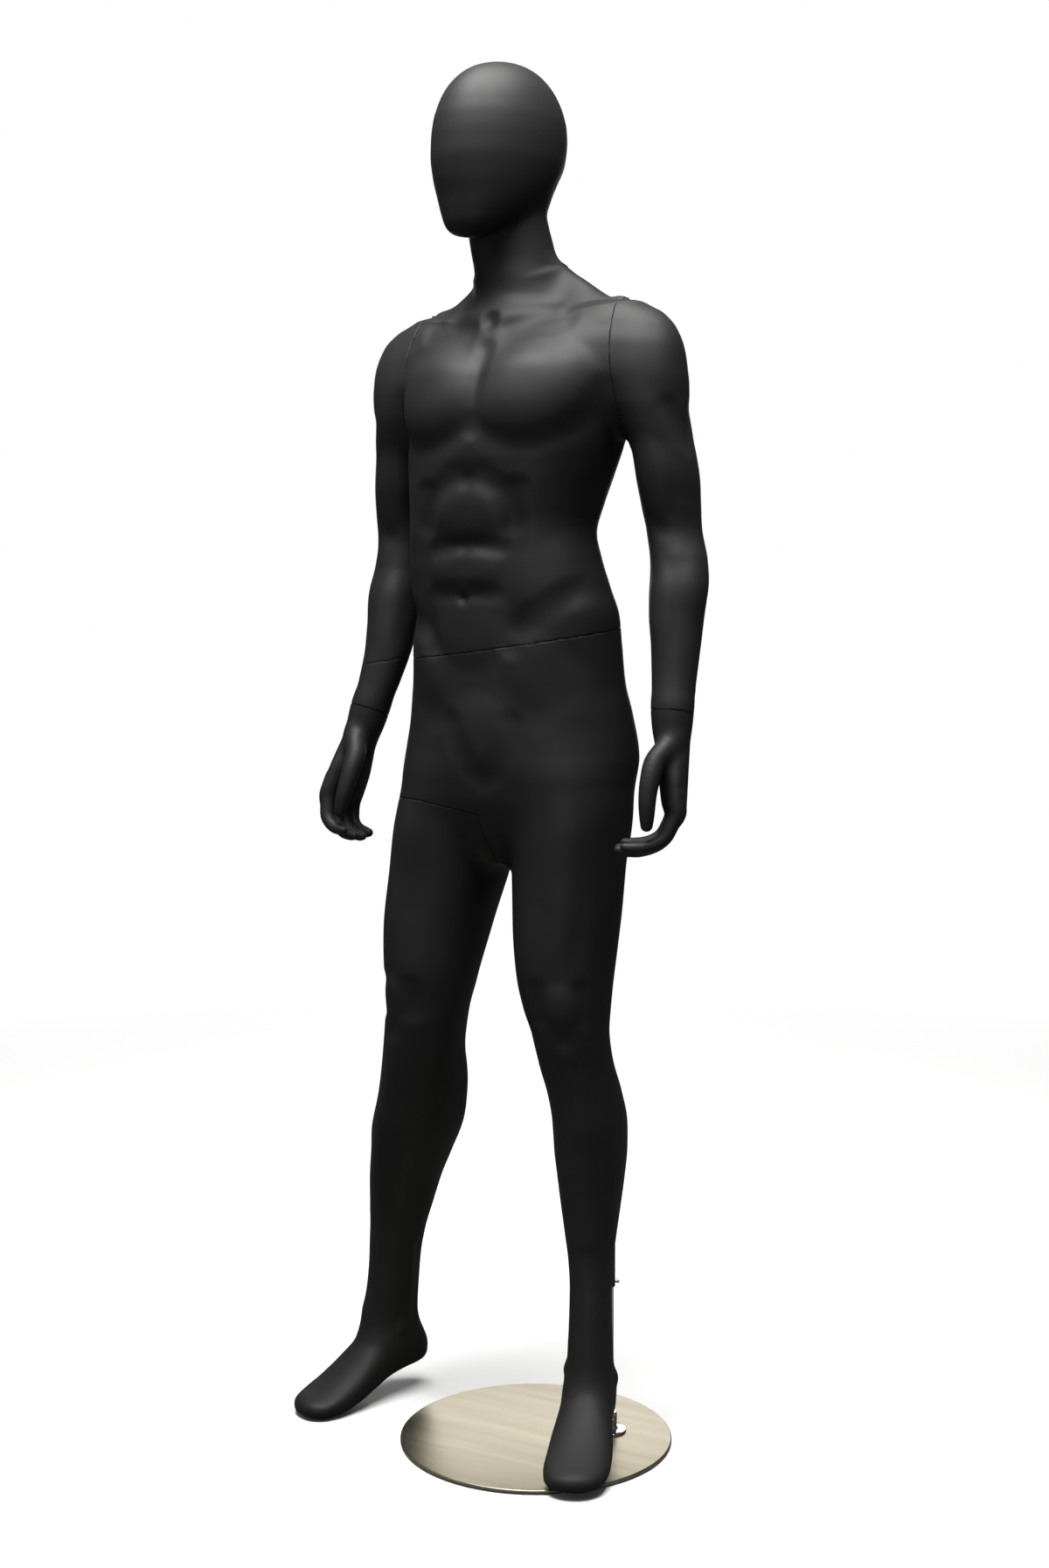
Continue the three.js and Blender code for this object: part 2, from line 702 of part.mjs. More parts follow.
function addShells() {
  const bodyHollow = withShoulders(WALL, INSIDE_SEGMENTS);
  const upper = upperBody().subtract(bodyHollow);
  addPiece("upper_body_shell", geometryOf(largest(upper)), BLACK);

  const whole = hipsAndLegs();
  const hips = whole.intersect(below(WAIST));
  const hollow = hipsHollow(WALL);
  const hole = socketHole(SOCKET_BOTTOM - SOCKET_HOLE_FLARE, SOCKET_TOP + FIT_GAP);
  const standing = hips.subtract(rightLegSpace(-SEAM_GAP / 2)).subtract(hollow);
  const lower = largest(standing.add(foot(LEFT_FOOT)).subtract(hole));
  addPiece("lower_body_shell", geometryOf(lower), BLACK);

  const leg = whole.intersect(rightLegSpace(SEAM_GAP / 2)).subtract(hollow);
  addPiece("right_leg_shell", geometryOf(largest(leg.add(foot(RIGHT_FOOT)))), BLACK);

  const arms = {
    left: [LEFT_ARM, LEFT_SHOULDER, LEFT_WRIST],
    right: [RIGHT_ARM, RIGHT_SHOULDER, RIGHT_WRIST],
  };
  for (const [side, [stations, shoulder, wrist]] of Object.entries(arms)) {
    const outside = arm(stations, shoulder).intersect(below(wrist));
    const inside = armLimb(stations, WALL);
    addPiece(side + "_arm_shell", geometryOf(largest(outside.subtract(inside))), BLACK);
    addPiece(side + "_hand", geometryOf(largest(placeHand(HANDS[side]))), BLACK);
  }
}

function addBoards() {
  const upper = withShoulders(BOARD_INSET, INSIDE_SEGMENTS);
  const hips = hipsHollow(BOARD_INSET);
  const add = (name, body) => addPiece(name, geometryOf(body), WOOD);
  add("waist_upper_board", boardAt(upper, WAIST, 1));
  add("waist_lower_board", boardAt(hips, WAIST, -1).subtract(pocketOf(LOCKS.waist)));

  const shoulderSpace = upper.intersect(above(level(SHOULDER_BOARD_FLOOR), 0));
  for (const [side, stations] of [["left", LEFT_ARM], ["right", RIGHT_ARM]]) {
    const shoulder = LOCKS[side + "_shoulder"];
    const wrist = LOCKS[side + "_wrist"];
    const inside = armLimb(stations, BOARD_INSET);
    const armTop = inside.intersect(above(level(ARM_BOARD_FLOOR), 0));
    const forearm = inside.intersect(below(level(FOREARM_CEILING), 0));
    const socket = boardAt(shoulderSpace, shoulder.cut, -1).subtract(pocketOf(shoulder));
    add(side + "_shoulder_board", socket);
    add(side + "_arm_board", boardAt(armTop, shoulder.cut, 1));
    const cuff = boardAt(forearm, wrist.cut, -1, WRIST_BOARD_THICKNESS);
    add(side + "_forearm_board", cuff.subtract(pocketOf(wrist)));
  }

  const thigh = hips.intersect(rightOf(CROTCH_X, HIP_SIDE_GAP)).intersect(below(level(HIP_CEILING), 0));
  const pegHole = placed(bar(PEG + 2 * PEG_FIT, PEG + 2 * PEG_FIT, -THROUGH, THROUGH), THIGH);
  add("thigh_socket_board", boardAt(thigh, THIGH, -1).subtract(pegHole));
  add("right_leg_board", boardAt(thigh, THIGH, 1));

  const leftLeg = hips.subtract(rightOf(CROTCH_X, 0));
  const calf = leftLeg.intersect(slab(level(0), CALF_BLOCK_BOTTOM, CALF_BLOCK_TOP));
  add("calf_block", largest(calf.subtract(socketHole(CALF_BLOCK_BOTTOM, CALF_BLOCK_TOP + FIT_GAP))));
}

// The right leg hangs on a square peg that slides into a socket plate under the hip.
function addLegPeg() {
  const group = standOn(THIGH);
  const opening = solid(bar(PEG + PEG_FIT, PEG + PEG_FIT, -THROUGH, THROUGH));
  const plate = solid(disc(PEG_PLATE_RADIUS, -PLATE_FAR, -PLATE_NEAR)).subtract(opening);
  addPiece("thigh_socket_plate", geometryOf(plate), ZINC, group);
  const flange = solid(disc(PEG_PLATE_RADIUS, PLATE_NEAR, PLATE_FAR));
  const peg = solid(bar(PEG, PEG, -PEG_REACH, PLATE_NEAR + STUD_OVERLAP));
  addPiece("right_leg_peg", geometryOf(union([flange, peg])), ZINC, group);
}

// ---- The stand ----
function addBase() {
  const plateProfile = [
    [0, PAD_HEIGHT],
    [BASE_RADIUS - BASE_EDGE, PAD_HEIGHT],
    [BASE_RADIUS, PAD_HEIGHT + BASE_EDGE],
    [BASE_RADIUS, BASE_TOP - BASE_EDGE],
    [BASE_RADIUS - BASE_EDGE, BASE_TOP],
    [0, BASE_TOP],
  ];
  const wide = BOLT_HEAD_RADIUS + 2 * BOLT_FIT;
  const shank = BOLT_RADIUS + 2 * BOLT_FIT;
  const countersink = [
    [0, 0],
    [wide, 0],
    [wide, BOLT_HEAD_EDGE + BOLT_FIT],
    [shank, BOLT_HEAD_TOP + BOLT_FIT],
    [shank, BOLT_TOP],
    [0, BOLT_TOP],
  ];
  const hole = solid(turned(countersink, BOLT_SEGMENTS)).translate(ROD_PLACE.toArray());
  const disk = solid(turned(plateProfile, BASE_SEGMENTS));
  addPiece("base_plate", geometryOf(disk.subtract(hole)), STEEL);
  addPiece("base_pad", disc(PAD_RADIUS, 0, PAD_HEIGHT - PAD_GAP, PAD_SEGMENTS), RUBBER);
}

// The collar, bolt, rod and socket, on the rod's axis.
function addSupport() {
  const stand = new THREE.Group();
  stand.position.copy(ROD_PLACE);
  model.add(stand);

  const bottom = BASE_TOP + PAD_GAP * 2;
  const seat = ROD_BOTTOM - ROD_CLEARANCE; // the bottom of the collar's bore
  const collarProfile = [
    [0, bottom],
    [FLANGE_RADIUS, bottom],
    [FLANGE_RADIUS, bottom + FLANGE_HEIGHT - METAL_EDGE],
    [FLANGE_RADIUS - METAL_EDGE, bottom + FLANGE_HEIGHT],
    [COLLAR_RADIUS + COLLAR_FILLET, bottom + FLANGE_HEIGHT + FLANGE_SLOPE],
    [COLLAR_RADIUS, bottom + FLANGE_HEIGHT + COLLAR_FILLET],
    [COLLAR_RADIUS, COLLAR_TOP - COLLAR_EDGE],
    [COLLAR_RADIUS - COLLAR_EDGE, COLLAR_TOP],
    [BORE_RADIUS, COLLAR_TOP],
    [BORE_RADIUS, seat],
    [0, seat],
  ];
  const thread = solid(disc(BOLT_RADIUS + BOLT_FIT, 0, ROD_BOTTOM, BOLT_SEGMENTS));
  const boss = solid(turned(collarProfile, COLLAR_SEGMENTS));
  const collar = boss.subtract(screwHole(BASE_SCREW)).subtract(thread);
  addPiece("base_collar", geometryOf(collar), CHROME, stand);

  const boltProfile = [
    [0, BOLT_HEAD_BOTTOM],
    [BOLT_HEAD_RADIUS, BOLT_HEAD_BOTTOM],
    [BOLT_HEAD_RADIUS, BOLT_HEAD_EDGE],
    [BOLT_RADIUS, BOLT_HEAD_TOP],
    [BOLT_RADIUS, BOLT_TOP],
    [0, BOLT_TOP],
  ];
  addPiece("base_bolt", turned(boltProfile, BOLT_SEGMENTS), ZINC, stand);

  const rodProfile = [
    [0, ROD_BOTTOM],
    [ROD_RADIUS, ROD_BOTTOM],
    [ROD_RADIUS, ROD_TOP - METAL_EDGE],
    [ROD_RADIUS - METAL_EDGE, ROD_TOP],
    [0, ROD_TOP],
  ];
  addPiece("support_rod", turned(rodProfile, ROD_SEGMENTS), CHROME, stand);

  const end = ROD_TOP + ROD_CLEARANCE; // the top of the socket's bore
  const socketProfile = [
    [BORE_RADIUS, SOCKET_BOTTOM],
    [SOCKET_RADIUS, SOCKET_BOTTOM],
    [SOCKET_RADIUS, SOCKET_TOP],
    [0, SOCKET_TOP],
    [0, end],
    [BORE_RADIUS, end],
    [BORE_RADIUS, SOCKET_BOTTOM],
  ];
  const socket = solid(turned(socketProfile, ROD_SEGMENTS)).subtract(screwHole(CALF_SCREW));
  addPiece("calf_socket", geometryOf(socket), BLACK, stand);
  addSetScrew("base_set_screw", stand, BASE_SCREW);
  addSetScrew("calf_set_screw", stand, CALF_SCREW);
}

// A hole from the rod's axis outwards, along a screw.
function screwHole({ height, turn }) {
  const hole = disc(SET_SCREW_HOLE, 0, FLANGE_RADIUS, BOLT_SEGMENTS).rotateY(Math.PI / 2).rotateZ(turn);
  return solid(hole.translate(0, 0, height));
}

// A socket set screw whose tip stops just short of the rod.
function addSetScrew(name, parent, { height, turn }) {
  const tip = ROD_RADIUS + SET_SCREW_GAP;
  const end = tip + SET_SCREW_LENGTH;
  const hex = solid(disc(HEX_RADIUS, end - HEX_DEPTH, end + 1, 6));
  const screw = solid(disc(SET_SCREW_RADIUS, tip, end, SCREW_SEGMENTS)).subtract(hex);
  const mesh = addPiece(name, geometryOf(screw), ZINC, parent);
  mesh.position.z = height;
  mesh.rotation.set(0, Math.PI / 2, turn, "ZYX");
}

addShells();
addBoards();
for (const [name, lock] of Object.entries(LOCKS)) addLock(name, lock);
addLegPeg();
addBase();
addSupport();
export default model;
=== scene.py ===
"""A full body mannequin on its steel base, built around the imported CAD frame.

The figure's skin is one smooth solid. It is described by level sections of each limb, turned into a distance field,
meshed, sculpted with soft strokes, and then cut into the shells that come apart at the seams.
"""
import json
import math

import bmesh
import bpy
import numpy as np
from mathutils import Matrix, Vector


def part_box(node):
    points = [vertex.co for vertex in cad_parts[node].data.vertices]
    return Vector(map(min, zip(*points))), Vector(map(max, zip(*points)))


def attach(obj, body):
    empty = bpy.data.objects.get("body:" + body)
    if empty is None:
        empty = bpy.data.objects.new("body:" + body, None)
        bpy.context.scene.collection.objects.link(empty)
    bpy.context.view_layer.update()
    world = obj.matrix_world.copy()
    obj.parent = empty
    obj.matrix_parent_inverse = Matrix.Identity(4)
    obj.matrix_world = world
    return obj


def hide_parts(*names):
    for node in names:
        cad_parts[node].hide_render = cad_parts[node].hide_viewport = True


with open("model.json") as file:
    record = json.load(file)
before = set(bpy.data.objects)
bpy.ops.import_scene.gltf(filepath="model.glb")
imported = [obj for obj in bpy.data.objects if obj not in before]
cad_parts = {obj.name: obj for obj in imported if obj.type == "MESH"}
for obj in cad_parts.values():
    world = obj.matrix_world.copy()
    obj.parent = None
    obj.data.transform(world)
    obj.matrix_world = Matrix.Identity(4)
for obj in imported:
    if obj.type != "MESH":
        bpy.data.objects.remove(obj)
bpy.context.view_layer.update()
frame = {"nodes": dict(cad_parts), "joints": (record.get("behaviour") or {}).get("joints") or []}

JOINTS = {joint["name"]: joint for joint in frame["joints"]}

# ------------------------------------------------------------------ driving sizes, in metres
WALL = 0.005  # the shells' thickness
SEAM = 0.0008  # the gap at each cut
FIT = 0.0004  # between pieces that touch
POCKET_DEPTH = 0.0162  # how far the open end of a shell goes in, which is where its board sits
PEG_DEPTH = 0.043  # the thigh peg's well in the hip
PEG_WELL_RADIUS = 0.018
BODY_STEP = 0.004  # the spacing of the body's mesh
HAND_STEP = 0.0016
PLATE_MIDDLE = 0.002  # from the thigh's cut to the middle of its socket plate
PLATE_FAR = 0.0034  # from a cut to a fitting plate's far face
BOARD_THICKNESS = 0.012
SEAM_ROUNDING = 0.0007
CROTCH_X = -0.044  # the right leg lies on the -x side of this
ROD_HOLE = 0.0086  # the round hole in the calf for the rod's socket
POCKET_INSET = 0.0072  # how far inside the skin a shell's open end is hollow
ARMPIT_TRIM = (1.295, 1.365)  # the heights between which each arm is kept off its shoulder's cutting plane
ARMPIT_GAP = 0.0010
LOW_ARM = (1.40, 0.07)  # below this height, within this distance, the arm's blend with the trunk narrows
NAPE = (-0.030, 0.060, 1.675, 0.030)  # the nape starts at this y and z, and is reached within these distances
LEG_TURN = math.radians(20)  # each leg is turned outwards
TOE_START, TOE_DRIFT = 0.130, 0.005  # beyond this distance the foot's middle curves in by this much at its tip
# How widely two shapes run into each other.
BLEND = {"fingers": 0.0012, "knuckles": 0.007, "thumb": 0.010, "wrist": 0.010, "armpit": 0.004, "shoulder": 0.030,
         "arm": 0.004, "neck": 0.030, "ankle": 0.020, "legs": 0.008, "hip": 0.022, "jaw": 0.008, "nape": 0.032}
SEAM_LOOPS = (-0.0022, -0.0002, 0.0002, 0.0022)  # the edge loops beside a cut
LEVEL = 0.7  # a cut whose normal rises by more than this lies level
SLIVER = 2e-5  # edges shorter than this are closed up
PRESSED = 0.0003  # vertices nearer to the cut than this are pressed in

FAR = 0.09  # what a field says well away from its solid
NUDGE = 5e-4  # the step that slopes are measured over
TRUSTED = 0.015  # how far off a blunt end the slope of a section's size still tells the distance
END_LENGTH = 0.020
CHAIN_LINKS = 3  # straight links from one finger joint to the next
BLOCK = 4  # grid points along each edge of the blocks that are looked at first

LACQUER_DARK, LACQUER_LIGHT = (0.0098, 0.0100, 0.0098), (0.0132, 0.0134, 0.0130)
LACQUER_ROUGHNESS = (0.52, 0.62)
STEEL_DARK, STEEL_LIGHT = (0.26, 0.232, 0.168), (0.43, 0.392, 0.300)
AMBIENT = 0.05
FLOOR_BOUNCE = 0.12  # the floor gives back this much light to the figure
LIGHTS = (  # name, place, aimed at, size, power, colour
    ("overhead", (0.15, -0.62, 3.7), (0, -0.1, 1.0), (2.4, 1.9), 290, (1, 1, 0.99)),
    ("front_low", (1.0, -3.3, 0.8), (0, 0, 0.9), (0.8, 1.0), 9, (0.93, 0.96, 1)),
    ("front_left", (-2.6, -2.2, 2.2), (0, 0, 1.0), (1.6, 2.0), 8, (0.97, 0.98, 1)),
    ("backdrop", (-2.0, 3.6, 1.7), (0, 0, 0.6), (3.4, 1.8), 45, (1, 0.98, 0.95)),
)
CAMERA_PLACE = (1.3615, -2.3900, 1.1234)
CAMERA_TURN = 30.0  # degrees round from straight in front, towards the figure's left
CAMERA_DIP = 4.2076  # degrees below level
CAMERA_LENS = 46.18
SENSOR_HEIGHT = 36.0

# How far the slab that makes each cut reaches from its middle, sideways and upwards.
SLAB_REACH = {"waist": (0.170, 0.150), "left_shoulder": (0.130, 0.160), "right_shoulder": (0.130, 0.160),
              "left_wrist": (0.045, 0.045), "right_wrist": (0.045, 0.045), "thigh": (0.170, 0.170)}
# Radius of the round pocket behind each lock plate.
LOCK_POCKET = {"waist": 0.0275, "left_shoulder": 0.0175, "right_shoulder": 0.0175, "left_wrist": 0.0095,
               "right_wrist": 0.0095}


def metres(table):
    """A table that is written in millimetres, in metres."""
    if isinstance(table, tuple):
        return tuple(metres(value) for value in table)
    return table if isinstance(table, str) else table / 1000


# ------------------------------------------------------------------ the figure's tables, in millimetres
# The figure's midline: (height, x).
MIDLINE = metres((
    (850, -30), (940, -26), (1020, -30), (1100, -45), (1178, -53), (1240, -47), (1300, -42), (1400, -32),
    (1480, -28), (1545, -34), (1620, -36),
))

# Marks: (view, radius or (across, upwards), height, then points (across from the centre line, height)).
MIDDLE_MARKS = metres((
    ("front", 18, -5, (0, 1541)),  # the pit of the neck
    ("front", 20, -3.6, (0, 1500), (2, 1450), (0, 1395)),  # breastbone
    ("front", 24, -3.2, (-66, 1272), (-52, 1312), (-22, 1334), (22, 1334), (52, 1312),
     (66, 1272)),  # under the arch of the ribs
    ("front", (68, 45), 7.2, (0, 1285)),  # the stomach's rows
    ("front", 18, -3, (-52, 1239), (0, 1245), (52, 1239)),
    ("front", (68, 38), 6.2, (0, 1212)),
    ("front", 18, -2.8, (-50, 1179), (0, 1184), (50, 1178)),
    ("front", (60, 58), 4.5, (0, 1130)),
    ("front", 14, -2, (0, 1330), (0, 1200)),
    ("front", 12, -6, (0, 1173)),  # navel
    ("front", (58, 66), 4.8, (0, 990)),
    ("back", 26, -6.5, (0, 1560), (0, 1400), (0, 1250), (0, 1120), (0, 1050)),  # spine
    ("back", 20, -12, (0, 1000), (0, 930), (0, 850)),
))
TRUNK_MARKS = metres((
    ("front", 15, 2.2, (16, 1546), (52, 1551), (86, 1554)),  # collar bone
    ("front", 22, -2.6, (34, 1526), (70, 1530), (105, 1533)),
    ("front", (88, 79), 12, (81, 1443)),  # chest
    ("front", 24, -2.2, (4, 1398), (30, 1382), (60, 1374), (92, 1376), (122, 1390),
     (146, 1412), (160, 1444)),
    ("front", (40, 66), 2, (86, 1295)),  # ribs
    ("front", 23, -4, (70, 1316), (71, 1250), (70, 1180), (62, 1110)),
    ("front", (50, 80), 3.4, (106, 1210)),  # flank
    ("front", 26, -3.6, (80, 1134), (100, 1150), (126, 1166), (150, 1182)),  # over the hip bone
    ("front", (55, 62), 4, (90, 1080)),
    ("front", 26, -2.8, (46, 1006), (44, 992), (31, 966), (13, 941), (0, 934)),
    ("front", 36, -2.2, (130, 1090), (100, 1052), (78, 1020)),  # groin
    ("back", (66, 82), 6.5, (88, 1435)),  # shoulder blade
    ("back", 22, -3.4, (42, 1500), (48, 1430), (64, 1362)),
    ("back", (54, 95), 3.8, (92, 1315)),
    ("back", (26, 115), 3.8, (34, 1170)),
    ("back", (68, 78), 13.5, (68, 930)),  # seat
    ("back", 19, -4.6, (20, 853), (60, 846), (100, 856)),
    ("back", 16, -2, (36, 1056)),
))
ARM_MARKS = metres((
    ("outer", (54, 74), 3, (0, 1470)),  # shoulder muscle
    ("outer", 20, -2, (30, 1420), (8, 1372), (-20, 1420)),
    ("front", (34, 62), 3.8, (-4, 1330)),
    ("back", (34, 70), 3.8, (0, 1350)),
    ("back", 17, 3.2, (2, 1258)),  # elbow
    ("back", 16, -2.2, (-20, 1262)),
    ("outer", (28, 60), 3, (10, 1195)),
    ("front", (24, 75), 2.6, (-8, 1160)),
    ("front", 18, -1.8, (0, 1262)),
    ("back", 13, 2.2, (16, 1052)),
))
LEG_MARKS = metres((
    ("front", (36, 130), 3.5, (4, 800)),
    ("front", (30, 70), 2.4, (-28, 700)),  # inner thigh muscle over the knee
    ("outer", (48, 115), 3, (0, 760)),
    ("front", (30, 36), 4.2, (2, 632)),  # kneecap
    ("front", 17, -2.4, (-30, 655), (-31, 612)),
    ("front", 17, -2.4, (32, 655), (33, 612)),
    ("front", 20, -2, (0, 586)),
    ("front", 22, 2, (-4, 560), (-4, 430), (0, 300)),  # shin
    ("back", (28, 85), 5, (-22, 465)),  # calf
    ("back", (28, 74), 4, (22, 480)),
    ("back", 14, -2, (0, 520), (0, 400)),
    ("back", 24, -3.2, (0, 610)),
    ("inner", 17, -3.4, (-24, 240), (-24, 130)),  # beside the heel's tendon
    ("outer", 17, -3.4, (-24, 240), (-24, 130)),
    ("inner", 16, 3.4, (4, 118)),  # ankle bones
    ("outer", 16, 3.4, (-6, 106)),
))
LEG_DROP = {"left": 0.0, "right": 0.012}  # how much lower the right leg's marks lie

HANDS = {
    "left": {"hangs": (0.026, -0.072, -1), "palm_turn": 30, "mirrored": True, "curl": 1.04, "reach": 1.0},
    "right": {"hangs": (-0.246, -0.205, -1), "palm_turn": -5, "mirrored": False, "curl": 0.80, "reach": 0.90},
}
# Palm: (height from the wrist, centre x, centre y, half thickness, half breadth).
PALM = metres((
    (50, 0, 0, 10, 11), (30, 0, 0, 19, 20), (8, 0, 0, 24.5, 26), (-14, 0, 0, 24.5, 26.5),
    (-46, -1, 0, 22.5, 27.5), (-70, -2, 1, 20.5, 34.5), (-95, -3, 2, 18.5, 40.5), (-120, -4, 2, 16, 42),
    (-134, -6, 2, 13, 40), (-143, -6, 2, 8, 35),
))
KNUCKLES = -0.130
CURL = metres((  # towards the palm, down from the knuckles, radius
    (-6, 0, 10), (2, 21, 9.5), (11, 38, 9.2), (28, 49, 8.5), (46, 53, 8.2), (60, 53, 7.4), (67, 52, 6.2),
))
FINGERS = (  # across the palm, length, and how far the curl reaches
    (-0.029, 0.88, 1.00), (-0.009, 0.96, 1.02), (0.011, 0.92, 1.04), (0.030, 0.79, 1.06),
)
THUMB = metres((
    (0, -14, -36, 13.5), (11, -22, -50, 15), (24, -30, -67, 14.5), (30, -37, -87, 13.2), (33, -40, -105, 12),
    (34, -41, -122, 11), (34, -40, -137, 9.6), (34, -39, -147, 8),
))

# Level sections: (height, centre x, centre y, half width, half depth in front, half depth behind).
TRUNK = metres((
    (812, -40, 12, 60, 40, 46), (846, -38, 12, 100, 72, 80), (876, -38, 12, 130, 92, 104),
    (908, -37, 12, 150, 104, 120), (960, -30, 11, 167, 110, 122), (1017, -29, 8, 160, 108, 110),
    (1060, -30, 4, 154, 104, 97), (1113, -29, 0, 151, 101, 88), (1151, -27, -4, 148, 99, 82),
    (1189, -32, -8, 142, 98, 78), (1227, -39, -10, 137, 97, 77), (1265, -44, -10, 133, 99, 79),
    (1303, -40, -8, 138, 105, 85), (1341, -34, -6, 146, 111, 93), (1379, -28, -4, 152, 116, 100),
    (1417, -24, -2, 156, 118, 105), (1465, -20, 4, 161, 112, 106), (1500, -20, 10, 164, 98, 99),
    (1530, -20, 14, 158, 78, 84), (1550, -20, 18, 150, 56, 65), (1566, -22, 21, 134, 41, 51),
    (1584, -25, 24, 109, 31, 41), (1603, -27, 26, 83, 22, 33), (1620, -28, 28, 56, 12, 22),
))
NECK = metres((
    (1470, -26, 0, 36, 46, 46), (1515, -28, 2, 55, 62, 60), (1550, -31, 6, 60, 64, 62),
    (1584, -32, 9, 57.5, 55, 60), (1603, -35, 10, 58, 56, 58), (1622, -38, 10, 57.5, 55, 60),
    (1645, -42, 8, 57, 55, 60), (1680, -46, 2, 54.5, 54, 58), (1720, -47, -4, 48, 50, 50),
))
LEFT_ARM = metres((
    (1566.5, 124, 16, 4, 3, 3), (1565, 122, 16, 18, 12, 12), (1558, 122, 16, 38, 25, 25),
    (1547, 128, 14, 53, 36, 36), (1525, 135, 12, 65, 48, 48), (1500, 140.5, 10, 68.5, 56, 58),
    (1465, 148.5, 9, 65.5, 60, 62), (1430, 162, 10, 54, 58, 60), (1400, 173, 12, 46, 53, 56),
    (1370, 183, 15, 41, 48, 50), (1334, 189, 18, 41, 46, 48), (1297, 192, 22, 39, 42, 44),
    (1261, 196, 25, 36.5, 38, 40), (1224, 205, 20, 37.5, 40, 41), (1187, 210, 10, 38.5, 40, 40),
    (1150, 211, 2, 36.5, 37, 37), (1113, 214, -6, 33, 33, 33), (1059, 217, -18, 29, 28, 28),
    (1023, 219, -26, 26.5, 25.5, 25.5), (1002, 220, -29, 22.5, 21.5, 21.5), (980, 220, -32, 12, 12, 12),
))
RIGHT_ARM = metres((
    (1565, -160, 16, 4, 3, 3), (1563.5, -160, 16, 18, 12, 12), (1557, -162, 15, 39, 25, 25),
    (1545, -171, 14, 56.5, 37, 36), (1525, -179, 12, 67.5, 48, 48), (1499, -185, 10, 69.5, 56, 58),
    (1465, -192, 9, 65.5, 60, 62), (1430, -204, 11, 54, 58, 60), (1400, -215, 15, 45.5, 53, 56),
    (1370, -223, 20, 41, 48, 50), (1334, -228, 24, 41.5, 46, 48), (1297, -232, 28, 39.5, 42, 44),
    (1261, -233, 29, 37.5, 38, 40), (1224, -232, 25, 38, 40, 41), (1187, -233, 13, 39, 40, 40),
    (1150, -233.5, 2, 37.5, 37, 37), (1113, -233.5, -10, 34.5, 33, 33), (1059, -240.5, -26, 30.2, 28, 28),
    (1020, -250, -36, 26.5, 25.5, 25.5), (1000, -253, -40, 22.5, 21.5, 21.5), (976, -258, -47, 12, 12, 12),
))
LEFT_LEG = metres((
    (1050, 26, 8, 30, 36, 40), (1010, 34, 8, 58, 66, 74), (970, 42, 6, 77, 86, 94), (930, 49, 4, 87, 95, 103),
    (870, 53.5, 2, 83.5, 94, 100), (809, 51, -2, 76.5, 90, 94), (733, 51, -8, 72, 85, 86),
    (657, 55, -16, 65.5, 75, 76), (620, 59, -18, 59.5, 69, 70), (581, 63, -14, 52.5, 64, 64),
    (541, 66, -4, 51, 61, 62), (500, 71, 10, 51, 64, 66), (459, 74, 20, 51.5, 67, 70),
    (419, 73, 25, 50.5, 64, 68), (379, 73, 26, 46.5, 59, 64), (340, 74, 24, 41.5, 52, 57),
    (301, 76, 20, 36, 45, 50), (263, 79, 15, 31.2, 39, 44), (226, 82, 9, 29, 36, 40),
    (180, 85, 3, 29.8, 36, 40), (140, 87, -1, 31.5, 38, 42), (105, 88, -3, 33, 40, 44),
    (65, 86, -2, 30, 40, 42),
))
RIGHT_LEG = metres((
    (1040, -90, 10, 30, 36, 40), (1005, -97, 10, 57, 64, 72), (970, -105, 8, 75, 84, 92),
    (930, -113, 6, 83, 93, 101), (870, -126.5, 4, 82.5, 94, 100), (798, -140.5, 0, 78.2, 88, 92),
    (718, -153.5, -10, 70.7, 80, 82), (640, -160, -20, 60.5, 67, 69), (599, -165, -20, 55, 61, 62),
    (557, -174, -14, 52, 61, 62), (514, -184, -2, 51.5, 64, 65), (469, -197, 12, 52.5, 67, 67),
    (424, -212, 22, 53.5, 69, 71), (379, -226, 30, 48.5, 64, 68), (335, -240, 34, 43.5, 56, 60),
    (290, -251, 38, 38.4, 48, 53), (247, -259, 39, 34, 42, 46), (203, -264.5, 42, 32, 41, 42),
    (158, -270, 46, 32.5, 44, 41), (125, -275.5, 48, 34, 48, 43), (95, -277, 48, 34.5, 50, 44),
    (66, -274, 51, 29, 40, 42),
))
# The egg head: (height, forward of its axis, half width, half depth)
HEAD_AXIS = (-0.0450, -0.0210)
HEAD_TURN = math.radians(-16.0)
HEAD = metres((
    (1652, 57, 9, 8), (1656, 53, 24, 23), (1665, 44.5, 38.5, 39.5), (1682, 31, 51.5, 58),
    (1703, 18, 62.5, 75.5), (1730, 8, 71.5, 92), (1760, 2, 76.8, 101), (1783, -0.5, 77.6, 102.2),
    (1804, -2, 76.1, 100.4), (1824, -3, 71.8, 94.8), (1845, -3.5, 64.1, 84.2), (1866, -4.5, 50, 65.5),
    (1877, -5.5, 37, 49), (1884, -8, 22.5, 31), (1887.5, -9, 10, 14), (1888.5, -9, 3, 4),
))

FOOT = metres((  # distance from the heel's back, half width, underside, top
    (0, 8, 49, 67), (6, 17, 43, 83), (22, 26, 38, 100), (50, 31.5, 35, 113), (80, 34.5, 29, 107),
    (112, 38.5, 17, 87), (145, 43, 6, 61), (175, 44, 0, 43), (200, 40, 0, 32), (217, 29, 2, 26),
    (224.5, 16, 6, 21), (227, 6, 10, 16),
))
FEET = {
    "left": {"heel": (0.067, 0.051), "turn": 20.5, "ground": 0.0070},
    "right": {"heel": (-0.2545, 0.1045), "turn": -20, "ground": 0.0005},
}

